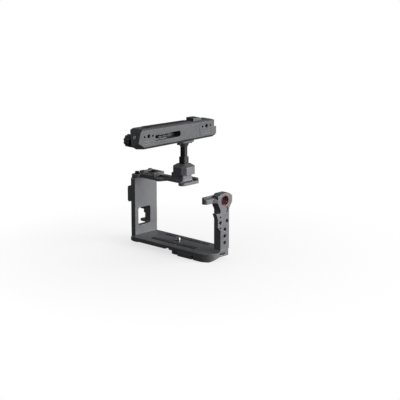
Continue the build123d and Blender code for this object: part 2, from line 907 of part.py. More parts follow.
with BuildPart() as post_housing:
    with BuildSketch(Plane.XY.offset(base_top)):
        with Locations(*axis_place):
            Rectangle(housing_width, housing_width)
    extrude(amount=housing_height + shoulder_height)
    chamfer(post_housing.edges().filter_by(Axis.Z), housing_corner)
    # sloped shoulder round the top
    housing_cap = post_housing.faces().sort_by(Axis.Z)[-1]
    chamfer(housing_cap.edges(), shoulder_inset, shoulder_height, reference=housing_cap)
    bore(housing_lid, axis_place, bushing_radius, housing_top - base_top)
    bore(housing_lid, axis_place, bushing_flange_radius, bushing_flange_height)
    bore(Plane.XY.offset(bushing_bottom), axis_place, circlip_cavity, bushing_lift)
    bore(housing_screw_top, housing_screw_places, m3_radius, m3_blind)
save(post_housing.part, "post_housing")

with BuildPart() as post_bushing:
    with BuildSketch(Plane.XY.offset(bushing_bottom)):
        with Locations(*axis_place):
            Circle(bushing_radius)
    extrude(amount=housing_top - bushing_bottom)
    with BuildSketch(Plane.XY.offset(housing_top - bushing_flange_height)):
        with Locations(*axis_place):
            Circle(bushing_flange_radius)
    extrude(amount=bushing_flange_height)
    bore(housing_lid, axis_place, post_radius + running_gap, housing_top - bushing_bottom)
save(post_bushing.part, "post_bushing")

# ---------------------------------------------------------------- post and release button
beam_z = seat_z + beam_gap
shank_bottom = housing_top + thrust_gap
shank_top = shank_bottom + shank_height
shank_right = post_x + shank_width / 2
circlip_top = bushing_bottom - thrust_gap
button_z = shank_bottom + button_rise
button_hole_depth = button_recess + button_length + spring_length

with BuildPart() as post:
    with BuildSketch(Plane.XY.offset(base_top + post_end_gap)):
        with Locations(*axis_place):
            Circle(post_radius)
    extrude(amount=beam_z + post_socket_depth - base_top - post_end_gap)
    with BuildSketch(Plane.XY.offset(shank_bottom)):
        with Locations(*axis_place):
            Rectangle(shank_width, shank_width)
    extrude(amount=shank_height)
    chamfer(post.edges().filter_by(Axis.Z).filter_by_position(Axis.Z, shank_bottom, shank_top), shank_bevel)
    # window for the release button
    with BuildSketch(Plane.YZ.offset(shank_right)):
        with Locations((frame_y, button_z)):
            Rectangle(button_width, button_height)
    extrude(amount=-button_hole_depth, mode=Mode.SUBTRACT)
    # groove for the ring that keeps the post in
    with BuildSketch(Plane.XY.offset(circlip_top - circlip_thickness)):
        with Locations(*axis_place):
            Circle(post_radius)
            Circle(post_radius - circlip_groove, mode=Mode.SUBTRACT)
    extrude(amount=circlip_thickness, mode=Mode.SUBTRACT)
save(post.part, "post")

with BuildPart() as post_circlip:
    with BuildSketch(Plane.XY.offset(circlip_top - circlip_thickness)):
        with Locations(*axis_place):
            Circle(circlip_radius)
            Circle(post_radius - circlip_groove, mode=Mode.SUBTRACT)
        with Locations((post_x, frame_y + circlip_radius)):
            Rectangle(circlip_mouth, circlip_radius, mode=Mode.SUBTRACT)
    extrude(amount=circlip_thickness)
save(post_circlip.part, "post_circlip")

with BuildPart() as release_button:
    with BuildSketch(Plane.YZ.offset(shank_right - button_recess)):
        with Locations((frame_y, button_z)):
            RectangleRounded(button_width - 2 * slide_gap, button_height - 2 * slide_gap, edge_break)
    extrude(amount=-button_length)
    chamfer(release_button.faces().sort_by(Axis.X)[-1].edges(), slide_gap)
save(release_button.part, "release_button")

spring_start = shank_right - button_hole_depth + spring_wire
spring_run = spring_length - 2 * spring_wire
spring_center = (spring_start, frame_y, button_z)
with BuildPart() as button_spring:
    with BuildLine() as coil:
        spring_pitch = spring_run / spring_turns
        Helix(spring_pitch, spring_run, spring_radius, center=spring_center, direction=(1, 0, 0))
    with BuildSketch(Plane(origin=coil.line @ 0, z_dir=coil.line % 0)):
        Circle(spring_wire)
    sweep(is_frenet=True)
save(button_spring.part, "button_spring")

# ---------------------------------------------------------------- post flange
flange_screw_places = [(post_x, frame_y - flange_screw_rear), (post_x, frame_y + flange_screw_front)]
flange_length = flange_rear_reach + flange_front_reach
flange_center = (post_x, frame_y + (flange_front_reach - flange_rear_reach) / 2)
flange_low = beam_z - flange_thickness

with BuildPart() as post_flange:
    with BuildSketch(Plane.XY.offset(flange_low)):
        with Locations(Location((*flange_center, 0), (0, 0, 90))):
            SlotOverall(flange_length, 2 * flange_radius)
    extrude(amount=flange_thickness)
    # flare from the post up to the flange
    with BuildSketch(Plane.XY.offset(beam_z - flange_height)):
        with Locations(*axis_place):
            Circle(post_radius + edge_break)
    with BuildSketch(Plane.XY.offset(flange_low)):
        with Locations(*axis_place):
            Circle(flange_radius - edge_break)
    loft()
    bore(Plane.XY.offset(beam_z), axis_place, post_radius + running_gap, flange_height)
    bore(Plane.XY.offset(beam_z), flange_screw_places, m3_clear, flange_height)
    bore(Plane.XY.offset(flange_low + flange_screw_sink), flange_screw_places, m3_sink, flange_height)
save(post_flange.part, "post_flange")

flange_screw_length = flange_thickness - flange_screw_sink + m3_grip
flange_head_z = flange_low + flange_screw_sink - m3_head_height
save_group(
    [m3_screw(flange_screw_length, facing_down(x, y, flange_head_z)) for x, y in flange_screw_places],
    "flange_screws",
)

# ---------------------------------------------------------------- handle beam

beam_right = post_x + beam_width / 2
beam_left = post_x - beam_width / 2
beam_rear = frame_y - beam_rear_reach
beam_front = frame_y + beam_front_reach
top_rear = beam_rear + rear_top_run
top_front = beam_front - front_slope_run
top_angle = atan2(beam_rear_height - beam_front_height, top_front - top_rear)
rear_lean = atan2(rear_face_run, rear_face_high - rear_face_low)
side_face = Plane.YZ.offset(beam_right)
top_plane = Plane(
    origin=(post_x, top_rear, beam_z + beam_rear_height),
    x_dir=(1, 0, 0),
    z_dir=(0, sin(top_angle), cos(top_angle)),
)
rear_plane = Plane(
    origin=(post_x, beam_rear, beam_z + rear_face_low),
    x_dir=(1, 0, 0),
    z_dir=(0, -cos(rear_lean), sin(rear_lean)),
)
cap_split = rear_plane.offset(-rear_cap_thickness)
rear_screw_place = [(rear_screw_shift, rear_screw_rise)]
front_screw_place = [(post_x, beam_z + front_cap_low + front_cap_height / 2)]
front_wall = (beam_width - front_cap_width) / 2
notch_place = [(beam_front - notch_inset, beam_z + notch_rise)]
slot_z = beam_z + side_slot_rise
slot_rear = frame_y - side_slot_rear
slot_front = slot_rear + side_slot_length
shelf_front = slot_rear + key_shelf_length
shelf_x = beam_right - key_shelf_depth
leg_pocket = key_width + 2 * face_gap
key_rear = slot_rear + 2 * key_bend
magnet_front = shelf_front - magnet_radius - magnet_margin
magnet_ys = [magnet_front - n * magnet_pitch for n in range(2)]
anchor_ys = [frame_y + rear_anchor_offset, frame_y + front_anchor_offset]
knob_place = [(frame_y + knob_offset, beam_z + knob_rise)]
panel_place = (frame_y + panel_offset, beam_z + panel_rise)
boss_distance = frame_y + boss_offset - top_rear
boss_screw_middle = boss_distance - boss_screw_shift
boss_screw_places = [(0, boss_screw_middle + side * boss_screw_pitch / 2) for side in (-1, 1)]


def on_rear_face(x, height):
    """Point on the handle's rear face at a height above the face's foot."""
    run = height * rear_face_run / (rear_face_high - rear_face_low)
    return Vector(x, beam_rear + run, beam_z + rear_face_low + height)


with BuildPart() as beam_blank:
    with BuildSketch(Plane.YZ.offset(beam_left)):
        with BuildLine():
            Polyline(
                (beam_rear + rear_foot_run, beam_z),
                (beam_rear, beam_z + rear_face_low),
                (beam_rear + rear_face_run, beam_z + rear_face_high),
                (top_rear, beam_z + beam_rear_height),
                (top_front, beam_z + beam_front_height),
                (beam_front, beam_z + beam_front_height - front_slope_drop),
                (beam_front, beam_z + front_foot_rise),
                (beam_front - front_foot_run, beam_z),
                close=True,
            )
        make_face()
    extrude(amount=beam_width)
    long_edges = beam_blank.edges().sort_by(SortBy.LENGTH)[-4:].sort_by(Axis.Z)
    chamfer(long_edges[:2], bottom_chamfer)
    long_edges = beam_blank.edges().filter_by_position(
        Axis.Z, beam_z + rear_face_high, beam_z + beam_rear_height
    ).sort_by(SortBy.LENGTH)[-2:]
    chamfer(long_edges, top_chamfer)
    # facets that take off the rear face's lower corners
    for side in (-1, 1):
        side_x = post_x + side * beam_width / 2
        facet_top = on_rear_face(side_x, facet_rise)
        facet_foot = on_rear_face(side_x - side * facet_width, 0)
        facet_front = Vector(side_x, facet_top.Y + facet_run, facet_foot.Z)
        facet_normal = (facet_foot - facet_top).cross(facet_front - facet_top) * side
        split(bisect_by=Plane(origin=facet_top, z_dir=facet_normal), keep=Keep.BOTTOM)
    # bevel along the rear face's left edge, wider towards its foot
    bevel_start = on_rear_face(beam_left + bevel_top, rear_face_high - rear_face_low)
    bevel_end = on_rear_face(beam_left + bevel_low, facet_rise)
    bevel_side = Vector(beam_left, bevel_end.Y + bevel_low, bevel_end.Z)
    bevel_normal = (bevel_side - bevel_start).cross(bevel_end - bevel_start)
    split(bisect_by=Plane(origin=bevel_start, z_dir=bevel_normal), keep=Keep.BOTTOM)

with BuildPart() as handle_beam:
    add(beam_blank.part)
    split(bisect_by=cap_split, keep=Keep.BOTTOM)
    # pocket for the front end cap, and a notch in each of its side walls
    bore(side_face, notch_place, notch_radius, front_wall)
    bore(Plane.YZ.offset(beam_left + front_wall), notch_place, notch_radius, front_wall)
    with BuildSketch(Plane.XZ.offset(-beam_front)):
        with Locations(*front_screw_place):
            Rectangle(front_cap_width, front_cap_height)
    extrude(amount=front_cap_length, mode=Mode.SUBTRACT)
    # side slot: a shelf for the key at the rear, a deep finger pocket ahead of it
    with BuildSketch(side_face):
        with Locations(((slot_rear + shelf_front) / 2, slot_z)):
            Rectangle(key_shelf_length, side_slot_height)
    extrude(amount=-key_shelf_depth, mode=Mode.SUBTRACT)
    with BuildSketch(side_face) as finger_pocket:
        with Locations(((shelf_front + slot_front) / 2, slot_z)):
            Rectangle(slot_front - shelf_front, side_slot_height)
        pocket_front = finger_pocket.vertices().sort_by(Axis.X)[-2:]
        fillet(pocket_front, side_slot_height / 2 - edge_break)
    extrude(amount=-side_slot_depth, mode=Mode.SUBTRACT)
    # pocket for the key's short leg, and seats for the magnets
    with BuildSketch(Plane.YZ.offset(shelf_x)):
        with Locations((key_rear + key_bend / 2, slot_z)):
            Rectangle(leg_pocket + key_bend, leg_pocket)
    extrude(amount=-key_leg, mode=Mode.SUBTRACT)
    bore(Plane.YZ.offset(shelf_x), [(y, slot_z) for y in magnet_ys], magnet_radius, magnet_thickness)
    # accessory anchors: a tapped hole between two locating holes, near both ends
    anchor_z = beam_z + anchor_rise
    bore(side_face, [(y, anchor_z) for y in anchor_ys], tapped_radius, tapped_depth)
    anchor_pins = [(y + side * locating_pitch, anchor_z) for y in anchor_ys for side in (-1, 1)]
    bore(side_face, anchor_pins, locating_radius, locating_depth)
    # decorative grooves below the anchors
    with BuildSketch(side_face):
        groove_zs = [beam_z + groove_rise - n * groove_pitch for n in range(2)]
        with Locations(*[(y, z) for y in anchor_ys for z in groove_zs]):
            SlotOverall(groove_length, groove_width)
    extrude(amount=-groove_depth, mode=Mode.SUBTRACT)
    # recess for the bare side panel
    with BuildSketch(side_face):
        with Locations(panel_place):
            Trapezoid(panel_length, panel_height, degrees(atan2(panel_height, panel_slant)))
    extrude(amount=-panel_depth, mode=Mode.SUBTRACT)
    # holes: post, flange screws, top boss, top anchor, knob stud, end caps
    post_socket = Plane.XY.offset(beam_z + post_socket_depth)
    bore(post_socket, axis_place, post_radius + running_gap, post_socket_depth)
    bore(Plane.XY.offset(beam_z + m3_blind), flange_screw_places, m3_radius, m3_blind)
    bore(top_plane, boss_screw_places, m3_radius, m3_blind)
    bore(top_plane, [(0, top_hole_start)], tapped_radius, tapped_depth)
    bore(Plane.YZ.offset(beam_left + stud_depth), knob_place, stud_radius + running_gap, stud_depth)
    bore(cap_split, rear_screw_place, m3_radius, m3_blind)
    bore(Plane.XZ.offset(front_cap_length - beam_front), front_screw_place, m3_radius, -m3_blind)
save(handle_beam.part, "handle_beam")

with BuildPart() as rear_end_cap:
    add(beam_blank.part)
    split(bisect_by=cap_split, keep=Keep.TOP)
    bore(rear_plane, rear_screw_place, m3_clear, rear_cap_thickness)
    bore(rear_plane, rear_screw_place, rear_screw_head_radius + screw_gap, rear_cap_thickness / 2)
save(rear_end_cap.part, "rear_end_cap")

rear_head_height = rear_cap_thickness / 2
rear_cap_screw = cap_screw(
    m3_radius,
    rear_screw_head_radius,
    rear_head_height,
    rear_cap_thickness - rear_head_height + m3_grip,
    m3_key_width,
    Plane(
        origin=rear_plane.from_local_coords((*rear_screw_place[0], 0)),
        x_dir=(1, 0, 0),
        z_dir=rear_plane.z_dir,
    ),
)
save(rear_cap_screw, "rear_cap_screw")

front_cap_face = Plane.XZ.offset(slide_gap - beam_front)
with BuildPart() as front_end_cap:
    with BuildSketch(front_cap_face):
        with Locations(*front_screw_place):
            Rectangle(front_cap_width - 2 * slide_gap, front_cap_height - 2 * slide_gap)
    extrude(amount=front_cap_length - slide_gap)
    chamfer(front_end_cap.faces().sort_by(Axis.Y)[-1].edges(), edge_break)
    bore(front_cap_face, front_screw_place, m3_clear, -front_cap_length)
    bore(front_cap_face, front_screw_place, m3_sink, -m3_head_height)
save(front_end_cap.part, "front_end_cap")

front_cap_screw = m3_screw(
    front_cap_length - slide_gap - m3_head_height + m3_grip,
    Plane(
        origin=(post_x, beam_front - slide_gap, front_screw_place[0][1]),
        x_dir=(1, 0, 0),
        z_dir=(0, 1, 0),
    ),
)
save(front_cap_screw, "front_cap_screw")

with BuildPart() as side_panel:
    with BuildSketch(Plane.YZ.offset(beam_right - panel_depth)):
        with Locations(panel_place):
            Trapezoid(
                panel_length - 2 * slide_gap,
                panel_height - 2 * slide_gap,
                degrees(atan2(panel_height, panel_slant)),
            )
    extrude(amount=panel_thickness)
save(side_panel.part, "side_panel")

with BuildPart() as palm_pad:
    with BuildSketch(top_plane):
        with Locations((0, pad_start + pad_length / 2)):
            RectangleRounded(pad_width, pad_length, strip_corner_radius)
    extrude(amount=pad_thickness)
    chamfer(palm_pad.faces().sort_by(SortBy.AREA)[-2:].sort_by(Axis.Z)[-1].edges(), edge_break)
save(palm_pad.part, "palm_pad")

boss_top = top_plane.offset(boss_height)
with BuildPart() as top_boss:
    with BuildSketch(top_plane):
        with Locations((0, boss_distance)):
            Rectangle(boss_width, boss_length)
    extrude(amount=boss_height)
    # sloped front
    front_edge_place = top_plane.from_local_coords((0, boss_distance + boss_length / 2, boss_height))
    chamfer(top_boss.edges().sort_by_distance(front_edge_place)[0], boss_slope)
    bore(boss_top, boss_screw_places, m3_clear, boss_height)
    bore(boss_top, boss_screw_places, m3_sink, m3_head_height)
save(top_boss.part, "top_boss")

top_boss_screws = []
for screw_x, screw_y in boss_screw_places:
    seat = top_plane.from_local_coords((screw_x, screw_y, boss_height))
    screw_plane = Plane(origin=seat, x_dir=(1, 0, 0), z_dir=top_plane.z_dir)
    top_boss_screws.append(m3_screw(boss_height - m3_head_height + m3_grip, screw_plane))
save_group(top_boss_screws, "top_boss_screws")

# ---------------------------------------------------------------- stored hex key
key_x = shelf_x + slide_gap + key_width / 2
with BuildPart() as hex_key:
    with BuildLine(Plane.XY.offset(slot_z)) as key_path:
        FilletPolyline(
            (key_x - key_leg, key_rear),
            (key_x, key_rear),
            (key_x, key_rear + key_arm),
            radius=key_bend,
        )
    with BuildSketch(Plane(origin=key_path.line @ 0, x_dir=(0, 0, 1), z_dir=key_path.line % 0)):
        RegularPolygon(key_width / 2, hex_sides, major_radius=False)
    sweep()
save(hex_key.part, "hex_key")

key_magnets = []
for magnet_y in magnet_ys:
    with BuildPart() as magnet:
        with BuildSketch(Plane.YZ.offset(shelf_x - magnet_thickness)):
            with Locations((magnet_y, slot_z)):
                Circle(magnet_radius)
        extrude(amount=magnet_thickness)
    key_magnets.append(magnet.part)
save_group(key_magnets, "key_magnets")

# ---------------------------------------------------------------- side knob
knob_plane = facing_left(beam_left - washer_thickness, *knob_place[0])

with BuildPart() as knob_washer:
    with BuildSketch(knob_plane):
        Circle(washer_radius)
        Circle(stud_radius, mode=Mode.SUBTRACT)
    extrude(amount=-(washer_thickness - slide_gap))
save(knob_washer.part, "knob_washer")

with BuildPart() as side_knob:
    add(fluted_knob(knob_plane, knob_radius, knob_thickness, knob_flutes, flute_radius))
    chamfer(side_knob.faces().sort_by(Axis.X)[0].edges(), edge_break)
    bore(knob_plane.offset(knob_thickness - washer_thickness), [(0, 0)], stud_radius, knob_thickness)
save(side_knob.part, "side_knob")

stud_inside = stud_depth - face_gap
with BuildPart() as knob_stud:
    with BuildSketch(knob_plane.offset(-washer_thickness - stud_inside)):
        Circle(stud_radius)
    extrude(amount=stud_inside + knob_thickness)
save(knob_stud.part, "knob_stud")

# ---------------------------------------------------------------- camera screw
head_top_z = deck_bottom - 2 * slide_gap
head_bottom_z = head_top_z - screw_head_height
pivot_z = head_bottom_z + ring_pivot_rise
retainer_z = seat_z - retainer_thickness - face_gap

with BuildPart() as camera_screw:
    with BuildSketch(Plane.XY.offset(head_bottom_z)):
        with Locations(*camera_screw_place):
            Circle(screw_head_radius)
    extrude(amount=screw_head_height)
    with BuildSketch(Plane.XY.offset(head_top_z)):
        with Locations(*camera_screw_place):
            Circle(camera_screw_radius)
    extrude(amount=seat_z + camera_screw_stick - head_top_z)
    chamfer(camera_screw.faces().sort_by(Axis.Z)[-1].edges(), edge_break)
    # groove for the retainer
    with BuildSketch(Plane.XY.offset(retainer_z)):
        with Locations(*camera_screw_place):
            Circle(camera_screw_radius)
            Circle(camera_screw_radius - retainer_groove, mode=Mode.SUBTRACT)
    extrude(amount=retainer_thickness, mode=Mode.SUBTRACT)
    # coin slot and the pivot holes for the ring
    with BuildSketch(Plane.XY.offset(head_bottom_z)):
        with Locations(*camera_screw_place):
            Rectangle(coin_slot_width, coin_slot_length)
    extrude(amount=coin_slot_depth, mode=Mode.SUBTRACT)
    for side in (-1, 1):
        pivot_plane = Plane.YZ.offset(camera_screw_x + side * screw_head_radius)
        with BuildSketch(pivot_plane):
            with Locations((frame_y, pivot_z)):
                Circle(ring_wire_radius + running_gap)
        extrude(amount=-side * (ring_pin_length + face_gap), mode=Mode.SUBTRACT)
save(camera_screw.part, "camera_screw")

with BuildPart() as screw_retainer:
    with BuildSketch(Plane.XY.offset(retainer_z)):
        with Locations(*camera_screw_place):
            Circle(retainer_radius)
            Circle(camera_screw_radius - retainer_groove, mode=Mode.SUBTRACT)
        with Locations((camera_screw_x, frame_y + retainer_radius)):
            Rectangle(camera_screw_radius, retainer_radius, mode=Mode.SUBTRACT)
    extrude(amount=retainer_thickness)
save(screw_retainer.part, "screw_retainer")

with BuildPart() as screw_ring:
    with BuildSketch(Plane.XZ.offset(-frame_y)):
        with Locations((camera_screw_x + ring_bend_radius, pivot_z)):
            Circle(ring_wire_radius)
    revolve(axis=Axis((camera_screw_x, frame_y, pivot_z), (0, 0, 1)), revolution_arc=-180)
    for side in (-1, 1):
        end_x = camera_screw_x + side * ring_bend_radius
        with BuildSketch(Plane.YZ.offset(end_x)):
            with Locations((frame_y, pivot_z)):
                Circle(ring_wire_radius)
        extrude(amount=-side * (ring_bend_radius - screw_head_radius + ring_pin_length))
        with Locations((end_x, frame_y, pivot_z)):
            Sphere(ring_wire_radius)
save(screw_ring.part, "screw_ring")

# ---------------------------------------------------------------- left side rail
foot_x = left_outer - rail_foot_height
crown_x = left_outer - rail_height
foot_half = rail_foot_width / 2
rail_half = rail_width / 2

with BuildPart() as side_rail:
    with BuildSketch(Plane.XZ.offset(-(frame_y + rail_length / 2))):
        with BuildLine():
            Polyline(
                (left_outer, rail_z - foot_half),
                (foot_x, rail_z - foot_half),
                (foot_x - rail_lip, rail_z - rail_half),
                (crown_x + rail_lip, rail_z - rail_half),
                (crown_x, rail_z - rail_half + rail_lip),
                (crown_x, rail_z + rail_half - rail_lip),
                (crown_x + rail_lip, rail_z + rail_half),
                (foot_x - rail_lip, rail_z + rail_half),
                (foot_x, rail_z + foot_half),
                (left_outer, rail_z + foot_half),
                close=True,
            )
        make_face()
    extrude(amount=rail_length)
    # lock notches across the outer face, between the screws
    with BuildSketch(Plane.YZ.offset(crown_x)):
        with Locations((frame_y - rail_notch_width, rail_z), (frame_y + rail_notch_width, rail_z)):
            Rectangle(rail_notch_width, rail_width)
    extrude(amount=rail_notch_depth, mode=Mode.SUBTRACT)
    bore(Plane.YZ.offset(left_outer), rail_screw_places, m3_clear, rail_height)
    bore(Plane.YZ.offset(crown_x + m3_head_height), rail_screw_places, m3_sink, m3_head_height)
save(side_rail.part, "side_rail")

rail_screw_length = rail_height - m3_head_height + m3_grip
save_group(
    [m3_screw(rail_screw_length, facing_left(crown_x, y, z)) for y, z in rail_screw_places],
    "side_rail_screws",
)

# ---------------------------------------------------------------- cable clamp
clamp_bottom = port_z - clamp_height / 2
clamp_top = port_z + clamp_height / 2
jaw_top = clamp_top - clamp_shelf - thrust_gap
jaw_low = jaw_top - jaw_height
jaw_back = left_outer - clamp_back - clamp_head_height - face_gap
jaw_front = left_outer - clamp_reach
stud_x = (jaw_back + jaw_front) / 2

with BuildPart() as clamp_body:
    with BuildSketch(Plane.XZ.offset(-(clamp_y + clamp_width / 2))):
        with BuildLine():
            Polyline(
                (left_outer, clamp_bottom),
                (jaw_front, clamp_bottom),
                (jaw_front, clamp_bottom + clamp_shelf),
                (left_outer - clamp_back, clamp_bottom + clamp_shelf),
                (left_outer - clamp_back, clamp_top - clamp_shelf),
                (jaw_front, clamp_top - clamp_shelf),
                (jaw_front, clamp_top),
                (left_outer, clamp_top),
                close=True,
            )
        make_face()
    extrude(amount=clamp_width)
    bore(Plane.XY.offset(clamp_top), [(stud_x, clamp_y)], clamp_stud_radius + running_gap, clamp_shelf)
    bore(Plane.YZ.offset(left_outer), clamp_screw_places, m3_clear, clamp_back)
save(clamp_body.part, "clamp_body")

clamp_head_x = left_outer - clamp_back - clamp_head_height
clamp_screw_length = clamp_back + m3_grip
clamp_body_screws = []
for screw_y, screw_z in clamp_screw_places:
    clamp_body_screws.append(
        cap_screw(
            m3_radius,
            m3_head_radius,
            clamp_head_height,
            clamp_screw_length,
            m3_key_width,
            facing_left(clamp_head_x, screw_y, screw_z),
        )
    )
save_group(clamp_body_screws, "clamp_body_screws")

with BuildPart() as clamp_jaw:
    with BuildSketch(Plane.XY.offset(jaw_low)):
        with Locations((stud_x, clamp_y)):
            Rectangle(jaw_back - jaw_front, clamp_width)
    extrude(amount=jaw_height)
    # V-groove that grips the cable
    with BuildSketch(Plane.YZ.offset(jaw_front)):
        with BuildLine():
            Polyline(
                (clamp_y - jaw_groove_height, jaw_low),
                (clamp_y, jaw_low + jaw_groove_height),
                (clamp_y + jaw_groove_height, jaw_low),
                close=True,
            )
        make_face()
    extrude(amount=jaw_back - jaw_front, mode=Mode.SUBTRACT)
    bore(Plane.XY.offset(jaw_top), [(stud_x, clamp_y)], clamp_stud_radius + running_gap, jaw_height)
save(clamp_jaw.part, "clamp_jaw")

clamp_knob_plane = facing_up(stud_x, clamp_y, clamp_top + thrust_gap)
with BuildPart() as clamp_knob:
    add(
        fluted_knob(
            clamp_knob_plane,
            clamp_knob_radius,
            clamp_knob_height,
            clamp_knob_flutes,
            clamp_flute_radius,
        )
    )
    chamfer(clamp_knob.faces().sort_by(Axis.Z)[-1].edges(), edge_break)
    clamp_stud_length = clamp_shelf + 2 * thrust_gap + jaw_height + jaw_travel
    with BuildSketch(clamp_knob_plane.offset(-clamp_stud_length)):
        Circle(clamp_stud_radius)
    extrude(amount=clamp_stud_length)
save(clamp_knob.part, "clamp_knob")
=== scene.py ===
"""Dress the camera cage and its long top handle, and set up the studio.

The solids come from the frame and get their finishes here. The ribbed rubber strips, the screw
threads and the coil behind the release button are modelled to go with them.
"""

import json
import logging
import math
from dataclasses import dataclass, field
from enum import Enum

import bmesh
import bpy
from mathutils import Matrix, Vector


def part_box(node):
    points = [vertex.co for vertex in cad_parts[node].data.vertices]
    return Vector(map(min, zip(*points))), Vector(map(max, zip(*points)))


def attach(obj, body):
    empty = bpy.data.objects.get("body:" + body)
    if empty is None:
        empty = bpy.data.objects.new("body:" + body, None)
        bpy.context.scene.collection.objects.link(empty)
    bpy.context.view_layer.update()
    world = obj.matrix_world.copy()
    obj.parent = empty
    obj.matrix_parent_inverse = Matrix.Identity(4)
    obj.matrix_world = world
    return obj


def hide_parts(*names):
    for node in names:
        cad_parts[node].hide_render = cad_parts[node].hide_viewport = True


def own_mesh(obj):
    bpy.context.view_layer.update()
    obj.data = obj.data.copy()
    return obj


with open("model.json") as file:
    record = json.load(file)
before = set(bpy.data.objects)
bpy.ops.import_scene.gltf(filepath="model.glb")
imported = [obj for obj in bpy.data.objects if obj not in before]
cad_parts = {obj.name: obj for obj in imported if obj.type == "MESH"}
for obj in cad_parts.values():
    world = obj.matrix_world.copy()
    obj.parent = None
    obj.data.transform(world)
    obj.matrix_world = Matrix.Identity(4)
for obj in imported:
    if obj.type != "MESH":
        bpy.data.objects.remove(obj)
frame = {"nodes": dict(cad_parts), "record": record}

LOG = logging.getLogger("camera_cage")
Colour = tuple[float, float, float]
Point = tuple[float, float, float]

RIGHT = Vector((1, 0, 0))
UP = Vector((0, 0, 1))


class Rides(Enum):
    """The bodies that new pieces ride on."""

    CAGE = "cage"
    HANDLE = "handle"
    CAMERA_SCREW = "camera_screw"


class Slot(Enum):
    """Material slots of the object."""

    CAGE_METAL = "anodised_black"
    HANDLE_METAL = "anodised_handle"
    RED_METAL = "anodised_red"
    BLACK_STEEL = "black_steel"
    BRIGHT_STEEL = "bright_steel"
    RUBBER = "rubber_black"
    BRONZE = "bronze"
    PLASTIC = "black_plastic"
    KNOB_METAL = "knob_black"


